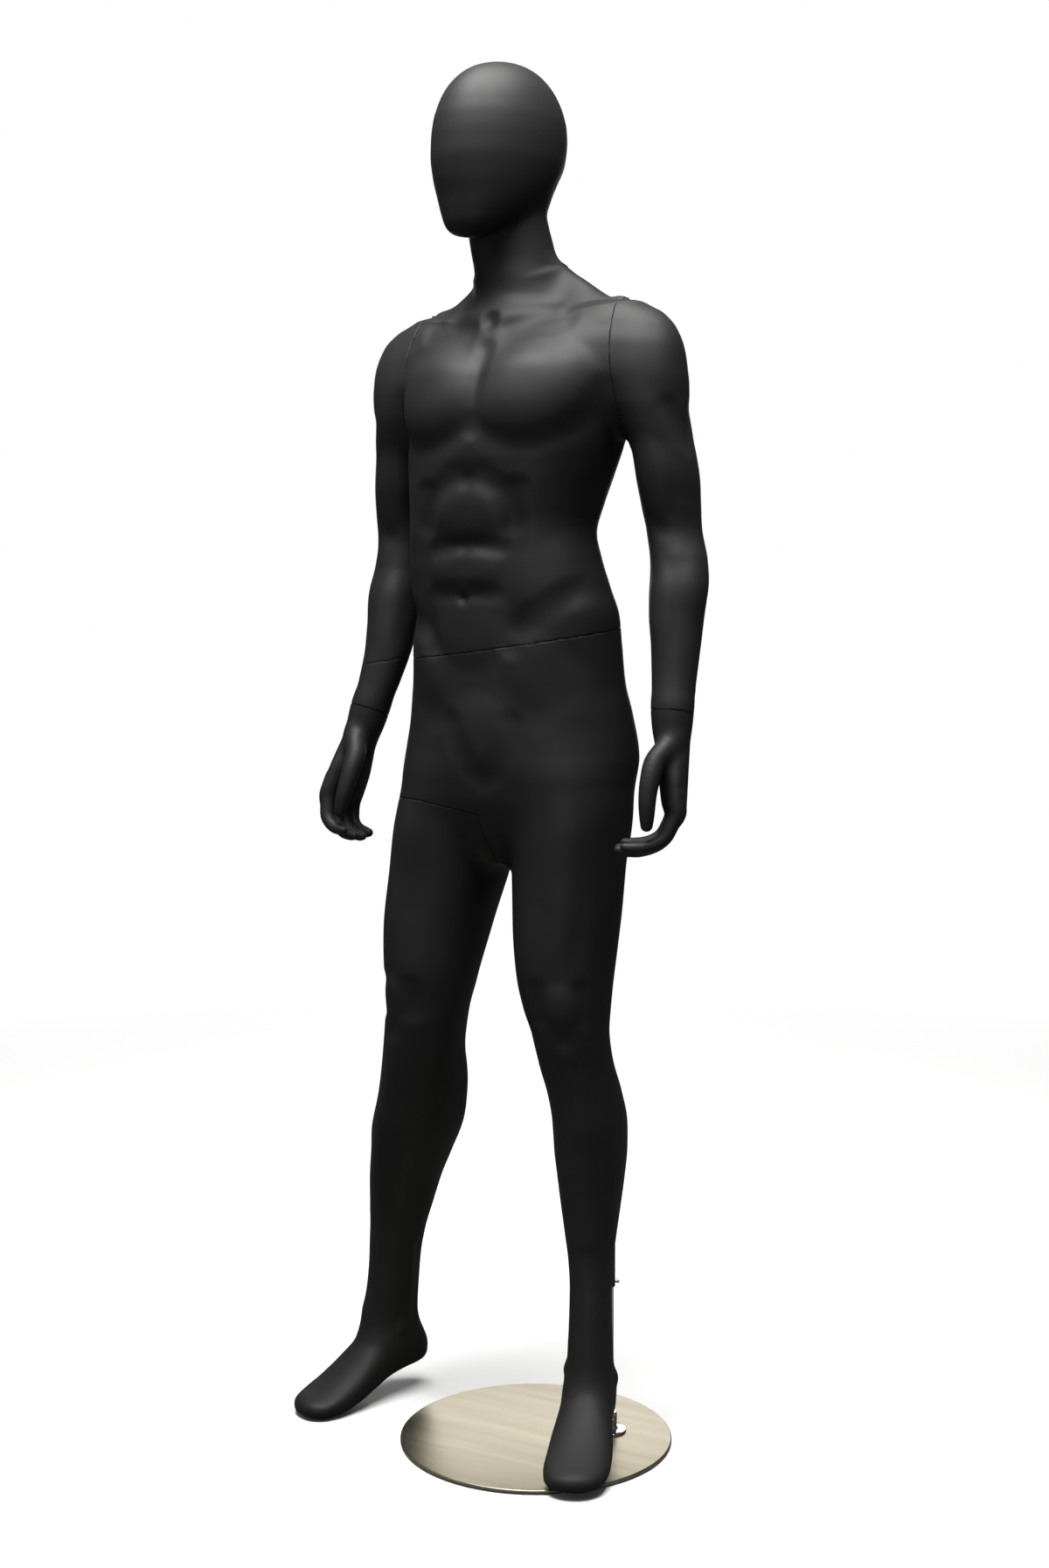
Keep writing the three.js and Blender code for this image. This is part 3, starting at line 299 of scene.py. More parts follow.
# ------------------------------------------------------------------ distance fields
class Curve:
    """Values against one coordinate: a cubic through the rows whose slopes are limited, so it never overshoots."""

    def __init__(self, rows):
        rows = np.array(sorted(rows), float)
        self.x, self.y = rows[:, 0], rows[:, 1:]
        gap = np.diff(self.x)[:, None]
        slope = np.diff(self.y, axis=0) / gap
        before, after = 2 * gap[1:] + gap[:-1], gap[1:] + 2 * gap[:-1]
        same_way = slope[:-1] * slope[1:] > 0
        safe = np.where(same_way, slope[:-1], 1), np.where(same_way, slope[1:], 1)
        mean = (before + after) / (before / safe[0] + after / safe[1])
        self.slope = np.zeros_like(self.y)
        self.slope[1:-1] = np.where(same_way, mean, 0)
        self.slope[0], self.slope[-1] = slope[0], slope[-1]

    def __call__(self, t):
        t = np.clip(t, self.x[0], self.x[-1])
        i = np.clip(np.searchsorted(self.x, t, side="right") - 1, 0, len(self.x) - 2)
        gap = (self.x[i + 1] - self.x[i])[:, None]
        u = (t - self.x[i])[:, None] / gap
        start = (1 + 2 * u) * (1 - u) ** 2 * self.y[i] + u * (1 - u) ** 2 * gap * self.slope[i]
        end = u * u * (3 - 2 * u) * self.y[i + 1] + u * u * (u - 1) * gap * self.slope[i + 1]
        return start + end


class Loft:
    """A solid through oval sections. A point's place along it is t, and across it u and w."""

    def __init__(self, rows, bluntness=2.0, under_bluntness=None):
        self.curve = Curve(rows)
        self.low, self.high = self.curve.x[0], self.curve.x[-1]
        self.bluntness = bluntness
        self.under = under_bluntness or bluntness
        self.reach = np.abs(self.curve.y).max() + FAR

    def place(self, p):
        raise NotImplementedError

    def ratio(self, p):
        t, u, w = self.place(p)
        n = np.where(w < 0, self.under, self.bluntness)
        return (np.abs(u) ** n + np.abs(w) ** n + 1e-9) ** (1 / n) - 1

    def distance(self, p):
        near = self.near(p)
        out = np.full(len(p), FAR)
        if near.any():
            out[near] = self.near_distance(p[near])
        return out

    def near_distance(self, p):
        value = self.ratio(p)
        slope = gradient(self.ratio, p, value)
        along = slope @ self.axis
        steepness = (slope**2).sum(1) + 1e-6
        depth = value / np.sqrt(steepness)
        across = value / np.sqrt(np.maximum(steepness - along**2, 1e-6))
        t = self.place(p)[0]
        past_end = np.maximum(t - self.high, self.low - t)
        trust = TRUSTED * np.clip(-past_end / END_LENGTH, 0, 1)
        depth = np.where(value > 0, np.maximum(depth, across - trust), depth)
        return np.where(past_end > 0, np.hypot(np.maximum(across, 0), past_end), depth)


class Limb(Loft):
    """Level sections: (height, centre x, centre y, half width, half depth in front[, half depth behind])."""

    def __init__(self, rows, turn=0.0, bluntness=2.0):
        rows = [row if len(row) == 6 else (*row, row[4]) for row in rows]
        super().__init__(rows, bluntness)
        self.cos, self.sin = math.cos(turn), math.sin(turn)
        centre, size = self.curve.y[:, :2], self.curve.y[:, 2:].max(1)[:, None]
        self.corner = (centre - size).min(0) - FAR, (centre + size).max(0) + FAR
        self.axis = np.array([0.0, 0.0, 1.0])

    def near(self, p):
        low, high = self.corner
        level = (p[:, 2] > self.low - FAR) & (p[:, 2] < self.high + FAR)
        return level & (p[:, :2] > low).all(1) & (p[:, :2] < high).all(1)

    def place(self, p):
        row = self.curve(p[:, 2])
        x, y = p[:, 0] - row[:, 0], p[:, 1] - row[:, 1]
        u, w = x * self.cos + y * self.sin, y * self.cos - x * self.sin
        return p[:, 2], u / row[:, 2], w / np.where(w < 0, row[:, 3], row[:, 4])


class Foot(Loft):
    """Upright sections: (distance from the heel's back, half width, underside, top)."""

    def __init__(self, rows, heel, turn, ground):
        super().__init__(rows, bluntness=2.0, under_bluntness=3.2)
        turn = math.radians(turn)
        self.origin = np.array([*heel, ground])
        self.axis = np.array([math.sin(turn), -math.cos(turn), 0])
        self.side = np.array([math.cos(turn), math.sin(turn), 0])
        self.toe_drift = TOE_DRIFT if turn > 0 else -TOE_DRIFT

    def near(self, p):
        return np.linalg.norm(p - self.origin - self.axis * self.high / 2, axis=1) < self.high / 2 + FAR

    def place(self, p):
        q = p - self.origin
        t = q @ self.axis
        row = self.curve(t)
        middle, half = (row[:, 1] + row[:, 2]) / 2, (row[:, 2] - row[:, 1]) / 2
        side = q @ self.side + self.toe_drift * np.clip((t - TOE_START) / (self.high - TOE_START), 0, 1) ** 2
        return t, side / row[:, 0], (q[:, 2] - middle) / half


class Chain:
    """Round joints of changing radius along a smooth path: (x, y, z, radius)."""

    def __init__(self, joints):
        last = len(joints) - 1
        curve = Curve([(i, *joint) for i, joint in enumerate(joints)])
        path = curve(np.linspace(0, last, last * CHAIN_LINKS + 1))
        self.points, self.radii = path[:, :3], path[:, 3]

    def distance(self, p):
        out = np.full(len(p), FAR)
        for i in range(len(self.points) - 1):
            a, ab = self.points[i], self.points[i + 1] - self.points[i]
            along = np.clip((p - a) @ ab / (ab @ ab), 0, 1)
            radius = self.radii[i] + (self.radii[i + 1] - self.radii[i]) * along
            here = np.linalg.norm(p - a - along[:, None] * ab, axis=1) - radius
            out = np.minimum(out, here)
        return out


def blend(a, b, width):
    """The nearer of two distances, rounded where they meet."""
    share = np.clip(0.5 + 0.5 * (b - a) / width, 0, 1)
    return b * (1 - share) + a * share - width * share * (1 - share)


class Hand:
    """A relaxed hand in its own frame: it hangs from the wrist, with its palm facing +x and its thumb at -y."""

    def __init__(self, wrist, hangs, palm_turn, mirrored, curl, reach):
        up = -Vector(hangs).normalized()
        palm = Matrix.Rotation(math.radians(palm_turn), 3, "Z").to_quaternion()
        self.turn = np.array((Vector((0, 0, 1)).rotation_difference(up) @ palm).to_matrix())
        self.origin = np.array(wrist)
        self.flip = np.array([-1.0 if mirrored else 1.0, 1, 1])
        self.palm = Limb(PALM)
        self.fingers = []
        for across, length, lean in FINGERS:
            length = length * reach
            root = (-0.006, across * 0.9, KNUCKLES + 0.022, 0.0095)
            joints = [(x * length * lean * curl, across, KNUCKLES - down * length, r) for x, down, r in CURL]
            self.fingers.append(Chain([root, *joints]))
        self.thumb = Chain(THUMB)

    def local(self, p):
        return ((p - self.origin) @ self.turn) * self.flip

    def palm_distance(self, p):
        return self.palm.distance(self.local(p))

    def distance(self, p):
        q = self.local(p)
        together = self.fingers[0].distance(q)
        for finger in self.fingers[1:]:
            together = blend(together, finger.distance(q), BLEND["fingers"])
        hand = blend(self.palm.distance(q), together, BLEND["knuckles"])
        return blend(hand, self.thumb.distance(q), BLEND["thumb"])


def gradient(field, p, value):
    out = np.empty_like(p)
    for axis in range(3):
        q = p.copy()
        q[:, axis] += NUDGE
        out[:, axis] = (field(q) - value) / NUDGE
    return out


# ------------------------------------------------------------------ from a field to a mesh

def sample(field, low, high, step):
    """The field on a regular grid. Only blocks near the surface are worked out; the others only get a sign."""
    low = np.array(low, float)
    blocks = np.ceil((np.array(high) - low) / (step * BLOCK)).astype(int) + 1
    centres = np.stack(np.meshgrid(*[np.arange(n) for n in blocks], indexing="ij"), -1).reshape(-1, 3)
    rough = field(low + (centres * BLOCK + (BLOCK - 1) / 2) * step)
    near = np.abs(rough) < 8.5 * step
    values = np.sign(rough).reshape(blocks) * FAR
    for axis in range(3):
        values = np.repeat(values, BLOCK, axis=axis)
    inner = np.stack(np.meshgrid(*[np.arange(BLOCK)] * 3, indexing="ij"), -1).reshape(-1, 3)
    cells = (centres[near][:, None, :] * BLOCK + inner[None]).reshape(-1, 3)
    for part in np.array_split(cells, max(1, len(cells) // 200000)):
        values[part[:, 0], part[:, 1], part[:, 2]] = field(low + part * step)
    for axis in range(3):  # a layer of outside all round closes the mesh
        edge = [slice(None)] * 3
        for end in (0, -1):
            edge[axis] = end
            values[tuple(edge)] = np.maximum(values[tuple(edge)], step * 0.5)
    return values


def surface_net(values, low, step):
    """Quads round everything below zero, with one vertex in each cell that the surface crosses."""
    inside = values < 0
    size = np.array(values.shape) - 1
    corners = [(i, j, k) for i in (0, 1) for j in (0, 1) for k in (0, 1)]
    count = sum(inside[i : size[0] + i, j : size[1] + j, k : size[2] + k].astype(np.int8) for i, j, k in corners)
    cells = np.argwhere((count > 0) & (count < 8))
    number = np.full(size, -1, np.int64)
    number[cells[:, 0], cells[:, 1], cells[:, 2]] = np.arange(len(cells))
    total, crossings = np.zeros((len(cells), 3)), np.zeros((len(cells), 1))
    for start in corners:
        for axis in range(3):
            if start[axis]:
                continue
            end = list(start)
            end[axis] = 1
            a = values[tuple((cells + start).T)]
            b = values[tuple((cells + end).T)]
            crosses = (a < 0) != (b < 0)
            along = np.where(crosses, a / np.where(crosses, a - b, 1), 0)
            point = np.tile(np.array(start, float), (len(cells), 1))
            point[:, axis] = along
            total += point * crosses[:, None]
            crossings += crosses[:, None]
    points = np.array(low) + (cells + total / crossings) * step
    quads = []
    for axis in range(3):
        b, c = (axis + 1) % 3, (axis + 2) % 3
        ahead = [slice(None)] * 3
        behind = [slice(None)] * 3
        behind[axis], ahead[axis] = slice(0, -1), slice(1, None)
        first, second = inside[tuple(behind)], inside[tuple(ahead)]
        edges = np.argwhere(first != second)
        outward = first[tuple(edges.T)]
        ring = []
        for db, dc in ((-1, -1), (0, -1), (0, 0), (-1, 0)):
            at = edges.copy()
            at[:, b] += db
            at[:, c] += dc
            ring.append(number[tuple(at.T)])
        ring = np.stack(ring, 1)
        ring[~outward] = ring[~outward][:, ::-1]
        quads.append(ring)
    return points, np.concatenate(quads)


def mesh_object(name, points, faces):
    mesh = bpy.data.meshes.new(name)
    faces = np.asarray(faces)
    mesh.vertices.add(len(points))
    mesh.vertices.foreach_set("co", np.asarray(points, np.float32).ravel())
    mesh.loops.add(faces.size)
    mesh.loops.foreach_set("vertex_index", faces.astype(np.int32).ravel())
    mesh.polygons.add(len(faces))
    mesh.polygons.foreach_set("loop_start", np.arange(0, faces.size, faces.shape[1], dtype=np.int32))
    mesh.update(calc_edges=True)
    mesh.validate()
    return in_scene(name, mesh)


def in_scene(name, data):
    obj = bpy.data.objects.new(name, data)
    bpy.context.scene.collection.objects.link(obj)
    return obj


def meshed(name, field, low, high, step, fit=True):
    """The solid where a field is below zero, with its vertices drawn onto the surface."""
    points, quads = surface_net(sample(field, low, high, step), low, step)
    if fit:
        for _ in range(2):
            value = field(points)
            slope = gradient(field, points, value)
            move = slope * (value / np.maximum((slope**2).sum(1), 0.25))[:, None]
            points -= np.clip(move, -step, step)
    return mesh_object(name, points, quads)


def vectors(items, name):
    """The named vector of each item in part of a mesh."""
    out = np.empty(len(items) * 3, np.float32)
    items.foreach_get(name, out)
    return out.reshape(-1, 3).astype(float)


# ------------------------------------------------------------------ cutting
def combined(obj, cutter, operation="DIFFERENCE"):
    """obj cut by cutter, or kept within it. The cutter is used up."""
    modifier = obj.modifiers.new("cut", "BOOLEAN")
    modifier.solver = "MANIFOLD"
    modifier.operation = operation
    modifier.object = cutter
    bpy.context.view_layer.update()
    graph = bpy.context.evaluated_depsgraph_get()
    mesh = bpy.data.meshes.new_from_object(obj.evaluated_get(graph))
    old = obj.data
    obj.modifiers.clear()
    obj.data = mesh
    bpy.data.meshes.remove(old)
    discard(cutter)
    return obj


def discard(obj):
    mesh = obj.data
    bpy.data.objects.remove(obj)
    bpy.data.meshes.remove(mesh)


class Plane:
    """A cut: its middle, and the direction towards the piece that comes off."""

    def __init__(self, point, normal):
        self.point = Vector(point)
        self.normal = Vector(normal).normalized()

    def slab(self, near, far, reach):
        """A thin box along the cut from near to far, reaching (sideways, upwards) from its middle."""
        z = self.normal
        x = Vector((1, 0, 0)) - z * z.x if abs(z.z) > LEVEL else Vector((0, 0, 1)).cross(z)
        x.normalize()
        matrix = Matrix((x, z.cross(x), z)).transposed().to_4x4()
        matrix.translation = self.point
        return block((-reach[0], -reach[1], near), (*reach, far), matrix)

    def rod(self, radius, near, far, segments=48):
        """A plug along the cut's normal."""
        bm = bmesh.new()
        bmesh.ops.create_cone(bm, cap_ends=True, segments=segments, radius1=radius, radius2=radius, depth=far - near)
        turn = turned_to(self.normal)
        turn.translation = self.point + self.normal * (near + far) / 2
        bm.transform(turn)
        return from_bmesh("plug", bm)


def turned_to(axis):
    """The turn that brings +z to an axis."""
    return Vector((0, 0, 1)).rotation_difference(axis).to_matrix().to_4x4()


UPRIGHT = Plane((0, 0, 0), (0, 0, 1))


def upright(node):
    """The place of an upright round node's axis, its radius, and the heights of its ends."""
    low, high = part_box(node)
    return Vector(((low.x + high.x) / 2, (low.y + high.y) / 2, 0)), (high.x - low.x) / 2, low.z, high.z


def put(obj, place, turn=None):
    obj.data.transform(Matrix.Translation(place) @ (turn or Matrix.Identity(4)))
    obj.data.update()
    return obj


def from_bmesh(name, bm):
    mesh = bpy.data.meshes.new(name)
    bm.to_mesh(mesh)
    bm.free()
    return in_scene(name, mesh)


def block(low, high, matrix=None):
    """A box between two corners, moved by matrix."""
    low, high = Vector(low), Vector(high)
    bm = bmesh.new()
    bmesh.ops.create_cube(bm, size=1)
    for v in bm.verts:
        v.co = (low + high) / 2 + v.co * (high - low)
    bm.transform(matrix or Matrix.Identity(4))
    return from_bmesh("block", bm)


# ------------------------------------------------------------------ the figure
trunk = Limb(TRUNK, bluntness=2.3)
neck = Limb(NECK)
head = Limb([(z, HEAD_AXIS[0] + ahead * math.sin(HEAD_TURN), HEAD_AXIS[1] - ahead * math.cos(HEAD_TURN), a, b)
             for z, ahead, a, b in HEAD], turn=HEAD_TURN)
arms = {"left": Limb(LEFT_ARM), "right": Limb(RIGHT_ARM)}
legs = {"left": Limb(LEFT_LEG, turn=LEG_TURN), "right": Limb(RIGHT_LEG, turn=-LEG_TURN)}
feet = {side: Foot(FOOT, **FEET[side]) for side in FEET}
hands = {side: Hand(JOINTS[side + "_hand_turn"]["pos_m"], **HANDS[side]) for side in HANDS}


def arm_distance(side, p):
    """The arm, trimmed under the armpit so that it stands clear of its shoulder's cutting plane there."""
    arm = blend(arms[side].distance(p), hands[side].palm_distance(p), BLEND["wrist"])
    cut = cut_at(side + "_arm_turn")
    inside = ARMPIT_GAP - (p - np.array(cut.point)) @ np.array(cut.normal)
    low, high = ARMPIT_TRIM
    let_go = np.maximum(p[:, 2] - high, low - p[:, 2])
    return -blend(-arm, np.maximum(let_go, 0) - inside, BLEND["armpit"])


def figure(p):
    """The whole figure but its fingers."""
    top, fade = LOW_ARM
    low_arm = np.clip((top - p[:, 2]) / fade, 0, 1)
    arm = np.minimum(arm_distance("left", p), arm_distance("right", p))
    body = blend(trunk.distance(p), neck.distance(p), BLEND["neck"])
    body = blend(body, arm, BLEND["shoulder"] + (BLEND["arm"] - BLEND["shoulder"]) * low_arm)
    leg = [blend(legs[side].distance(p), feet[side].distance(p), BLEND["ankle"]) for side in legs]
    body = blend(body, blend(*leg, BLEND["legs"]), BLEND["hip"])
    y, back, z, up = NAPE  # the jaw meets the neck sharply, the nape softly
    nape = np.clip((p[:, 1] - y) / back, 0, 1) * np.clip((p[:, 2] - z) / up, 0, 1)
    return blend(body, head.distance(p), BLEND["jaw"] + (BLEND["nape"] - BLEND["jaw"]) * nape)


def soft(share, power):
    return np.clip(1 - share**power, 0, 1) ** 2


def mark_height(u, z, marks, facing):
    """How far each point is raised by a list of marks: (view, radius or radii, height, points of the stroke)."""
    total = np.zeros(len(u))
    for view, radius, height, *path in marks:
        pad = isinstance(radius, tuple)  # a pad has a flatter top than a stroke
        wide, tall = radius if pad else (radius, radius)
        nearest = np.full(len(u), np.inf)
        path = np.array(path)
        for start, end in zip(path, path[1:] if len(path) > 1 else path):
            a = start / (wide, tall)
            ab = end / (wide, tall) - a
            x, y = u / wide - a[0], z / tall - a[1]
            along = np.clip((x * ab[0] + y * ab[1]) / max(ab @ ab, 1e-12), 0, 1)
            nearest = np.minimum(nearest, np.hypot(x - along * ab[0], y - along * ab[1]))
        total += height * soft(nearest, 3 if pad else 2) * facing[view]
    return total


def raised(p, n, limb, centre, turn, outward, marks, drop=0.0, both_sides=False):
    """Marks on one limb, placed across from its centre line. outward is 1 where +x is its outer side, else -1."""
    ahead, side = np.array([math.sin(turn), -math.cos(turn)]), np.array([math.cos(turn), math.sin(turn)]) * outward
    middle = centre(p[:, 2])
    q = p[:, :2] - middle
    u = {"front": q @ side, "back": q @ side, "outer": q @ ahead, "inner": q @ ahead}
    face = {"front": n[:, :2] @ ahead, "outer": n[:, :2] @ side}
    face["back"], face["inner"] = -face["front"], -face["outer"]
    on_limb = np.clip(2.0 - np.abs(limb.distance(p)) / 0.015, 0, 1)
    total = np.zeros(len(p))
    for view, across in u.items():
        mine = [mark for mark in marks if mark[0] == view]
        facing = np.clip(face[view] * 1.5, 0, 1)
        facing = {view: facing * facing * (3 - 2 * facing)}
        total += mark_height(np.abs(across) if both_sides else across, p[:, 2] + drop, mine, facing)
    return total * on_limb


def sculpted(p, n):
    """How far each point of the skin moves out along its normal."""
    spine = Curve(MIDLINE)
    total = np.zeros(len(p))

    def centre(z):
        return np.column_stack([spine(z)[:, 0], np.zeros(len(z))])

    total += raised(p, n, trunk, centre, 0, 1, MIDDLE_MARKS)
    total += raised(p, n, trunk, centre, 0, 1, TRUNK_MARKS, both_sides=True)
    for side, outward in (("left", 1), ("right", -1)):
        arm, leg = arms[side], legs[side]
        total += raised(p, n, arm, lambda z: arm.curve(z)[:, :2], 0, outward, ARM_MARKS)
        turn = LEG_TURN * outward
        total += raised(p, n, leg, lambda z: leg.curve(z)[:, :2], turn, outward, LEG_MARKS, LEG_DROP[side])
    return total


def cut_at(joint):
    return Plane(JOINTS[joint]["pos_m"], JOINTS[joint]["axis"])


CUTS = {
    "waist": cut_at("waist_twist"), "left_shoulder": cut_at("left_arm_turn"), "right_shoulder": cut_at("right_arm_turn"),
    "left_wrist": cut_at("left_hand_turn"), "right_wrist": cut_at("right_hand_turn"),
    "thigh": Plane(sum(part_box("thigh_socket_plate"), Vector()) / 2, JOINTS["right_leg_slide"]["axis"]),
}
CUTS["thigh"].point += CUTS["thigh"].normal * PLATE_MIDDLE


def leg_space(gap):
    """The block of space that the right leg comes away into, grown by gap at both of its cuts."""
    space = block((-0.32, -0.22, 0.72), (CROTCH_X + gap, 0.22, 1.05))
    return combined(space, CUTS["thigh"].slab(-gap, 0.6, (0.7, 0.7)), "INTERSECT")


def seam_slab(name):
    if name == "thigh":
        return combined(leg_space(SEAM / 2), leg_space(-SEAM / 2))
    return CUTS[name].slab(-SEAM / 2, SEAM / 2, SLAB_REACH[name])


def inner_slab(name, near, far, inset, step=0.0035):
    """What lies inside the skin by more than inset, between two distances along a cut's normal."""
    cut = CUTS[name]
    reach = Vector((max(SLAB_REACH[name]),) * 3)
    core = meshed("core", lambda p: figure(p) + inset, cut.point - reach, cut.point + reach, step)
    if name == "thigh":
        core = combined(core, block(cut.point - reach * 2, Vector((CROTCH_X - WALL, 9, 9))), "INTERSECT")
    return largest_part(combined(core, cut.slab(near, far, SLAB_REACH[name]), "INTERSECT"), cut.point)


def parts_of(obj):
    """The number of the separate body that each vertex of a mesh belongs to."""
    mesh = obj.data
    edges = np.empty(len(mesh.edges) * 2, np.int32)
    mesh.edges.foreach_get("vertices", edges)
    edges = edges.reshape(-1, 2)
    label = np.arange(len(mesh.vertices))
    while True:
        lowest = np.minimum(label[edges[:, 0]], label[edges[:, 1]])
        before = label.copy()
        np.minimum.at(label, edges[:, 0], lowest)
        np.minimum.at(label, edges[:, 1], lowest)
        label = label[label]
        if (label == before).all():
            return label


def part(obj, keep, name):
    """A new object holding only the vertices marked in keep."""
    bm = bmesh.new()
    bm.from_mesh(obj.data)
    bm.verts.ensure_lookup_table()
    bmesh.ops.delete(bm, geom=[bm.verts[i] for i in np.flatnonzero(~keep)], context="VERTS")
    return from_bmesh(name, bm)


def largest_part(obj, point):
    """Only the closed body nearest to point."""
    label = parts_of(obj)
    names = np.unique(label)
    if len(names) == 1:
        return obj
    co = vectors(obj.data.vertices, "co")
    near = [np.linalg.norm(co[label == k].mean(0) - np.array(point)) - 0.1 * (label == k).mean() for k in names]
    kept = part(obj, label == names[int(np.argmin(near))], obj.name)
    discard(obj)
    return kept


def refined(obj, cut, reach, side):
    """Extra edge loops either side of a cut, the nearest of them pressed in, so that the seam's edges are soft.

    Only the skin within reach of the cut's middle, and with x under side, is touched.
    """
    bm = bmesh.new()
    bm.from_mesh(obj.data)

    def near(co):
        away = co - cut.point
        return abs(away.dot(cut.normal)) < 0.02 and away.length < reach and co.x < side

    for offset in SEAM_LOOPS:
        faces = [f for f in bm.faces if near(f.verts[0].co)]
        geom = set(faces)
        for f in faces:
            geom.update(f.edges)
            geom.update(f.verts)
        place = cut.point + cut.normal * offset
        bmesh.ops.bisect_plane(bm, geom=list(geom), dist=1e-6, plane_co=place, plane_no=cut.normal)
    bm.normal_update()
    pressed = [v for v in bm.verts if near(v.co) and abs((v.co - cut.point).dot(cut.normal)) < PRESSED]
    for v in pressed:
        inward = v.normal - cut.normal * v.normal.dot(cut.normal)
        v.co -= inward.normalized() * SEAM_ROUNDING
    bm.to_mesh(obj.data)
    bm.free()
    obj.data.update()
    return obj


# ------------------------------------------------------------------ materials
class Nodes:
    """A node tree, with short ways to add to it. An input is given a value, or another node's output."""

    def __init__(self, owner):
        owner.use_nodes = True
        self.owner, self.tree = owner, owner.node_tree

    def feed(self, node, inputs):
        for key, value in inputs.items():
            if isinstance(value, bpy.types.NodeSocket):
                self.tree.links.new(value, node.inputs[key])
            else:
                node.inputs[key].default_value = value

    def add(self, kind, inputs, **settings):
        """A new node's outputs."""
        node = self.tree.nodes.new("ShaderNode" + kind)
        for key, value in settings.items():
            setattr(node, key, value)
        self.feed(node, inputs)
        return node.outputs

    def place(self, scale=(1, 1, 1)):
        """The point on the object, stretched by scale."""
        return self.add("Mapping", {"Vector": self.add("TexCoord", {})["Object"], "Scale": scale})["Vector"]

    def noise(self, place, scale, detail=3.0, roughness=0.5):
        return self.add("TexNoise", {"Vector": place, "Scale": scale, "Detail": detail, "Roughness": roughness})["Fac"]

    def between(self, value, low, high, start=0.3, end=0.7):
        """value from start..end spread over low..high."""
        limits = {"From Min": start, "From Max": end, "To Min": low, "To Max": high}
        return self.add("MapRange", {"Value": value, **limits})["Result"]

    def mixed(self, value, first, second):
        node = self.tree.nodes.new("ShaderNodeValToRGB")
        for element, position, colour in zip(node.color_ramp.elements, (0.3, 0.7), (first, second)):
            element.position, element.color = position, (*colour, 1)
        self.feed(node, {"Fac": value})
        return node.outputs["Color"]

    def maths(self, operation, *values):
        return self.add("Math", dict(enumerate(values)), operation=operation)[0]

    def bump(self, value, depth, strength=1.0, **under):
        return self.add("Bump", {"Height": value, "Distance": depth, "Strength": strength, **under})["Normal"]

    def shade(self, inputs):
        """Feeds the main shader, and gives the material."""
        self.feed(self.tree.nodes["Principled BSDF"], inputs)
        return self.owner

    def split(self, unseen, seen, output):
        """Shows one shader to the camera, and the other to every other ray."""
        camera = self.add("LightPath", {})["Is Camera Ray"]
        mix = self.add("MixShader", {0: camera, 1: unseen, 2: seen})[0]
        self.feed(self.tree.nodes[output], {"Surface": mix})


def material(name):
    return Nodes(bpy.data.materials.new(name))


def finish_of(name, colours, roughness, grain, metal=0.0, patch=6.0, specular=0.5):
    """A finish whose colour and roughness wander in patches, with a fine grain: (scale, depth) in its surface."""
    net = material(name)
    place = net.place()
    return net.shade({
        "Base Color": net.mixed(net.noise(place, patch), *colours),
        "Roughness": net.between(net.noise(place, patch * 3), *roughness),
        "Normal": net.bump(net.noise(place, grain[0], 2.0), grain[1]),
        "Metallic": metal,
        "Specular IOR Level": specular,
    })


def lacquer():
    """Matt black lacquer sprayed on fibreglass: a slight orange peel over faint hand-sanded waves."""
    net = material("matt_black_lacquer")
    place = net.place()
    patches = net.between(net.noise(place, 9.0), 0.0, 1.0)
    dust = net.maths("MULTIPLY_ADD", net.noise(place, 260.0, 4.0, 0.7), 0.5, patches)
    waves = net.bump(net.noise(place, 28.0, 2.0), 0.0005, 0.25)
    return net.shade({
        "Base Color": net.mixed(net.noise(place, 5.0), LACQUER_DARK, LACQUER_LIGHT),
        "Roughness": net.between(dust, *LACQUER_ROUGHNESS, 0.2, 1.2),
        "Normal": net.bump(net.noise(place, 900.0, 2.0), 0.00006, 0.5, Normal=waves),
        "Specular IOR Level": 0.22,
    })


def brushed_steel():
    """Stainless sheet brushed in one direction, with long fine scratches and a few faint bands."""
    net = material("brushed_stainless")
    streaks = net.noise(net.place((1.2, 70, 1)), 9.0, 6.0, 0.65)
    hairs = net.noise(net.place((3, 900, 1)), 4.0, 4.0, 0.7)
    bands = net.noise(net.place((0.5, 9, 1)), 4.0, 2.0)
    tone = net.maths("MULTIPLY", net.maths("ADD", streaks, bands), 0.5)
    return net.shade({
        "Base Color": net.mixed(tone, STEEL_DARK, STEEL_LIGHT),
        "Roughness": net.between(streaks, 0.26, 0.40),
        "Normal": net.bump(streaks, 0.00010, 0.5, Normal=net.bump(hairs, 0.00004, 0.6)),
        "Metallic": 1,
        "Anisotropic": 0.5,
        "Tangent": net.add("Tangent", {}, direction_type="RADIAL", axis="Y")["Tangent"],
    })


def board_wood():
    """Pale plywood: long grain lines, a little darker at the growth rings."""
    net = material("board_wood")
    warp = net.noise(net.place((1, 14, 14)), 3.0)
    wave = {"Vector": net.place((1, 6, 3)), "Scale": 12.0, "Distortion": 5.0, "Detail": 3.0}
    rings = net.add("TexWave", wave, wave_type="BANDS", bands_direction="Y")["Fac"]
    grain = net.maths("MULTIPLY_ADD", rings, 0.4, warp)
    return net.shade({
        "Base Color": net.mixed(grain, (0.30, 0.17, 0.07), (0.52, 0.35, 0.18)),
        "Roughness": net.between(warp, 0.62, 0.82),
        "Normal": net.bump(grain, 0.0003, 0.5),
    })


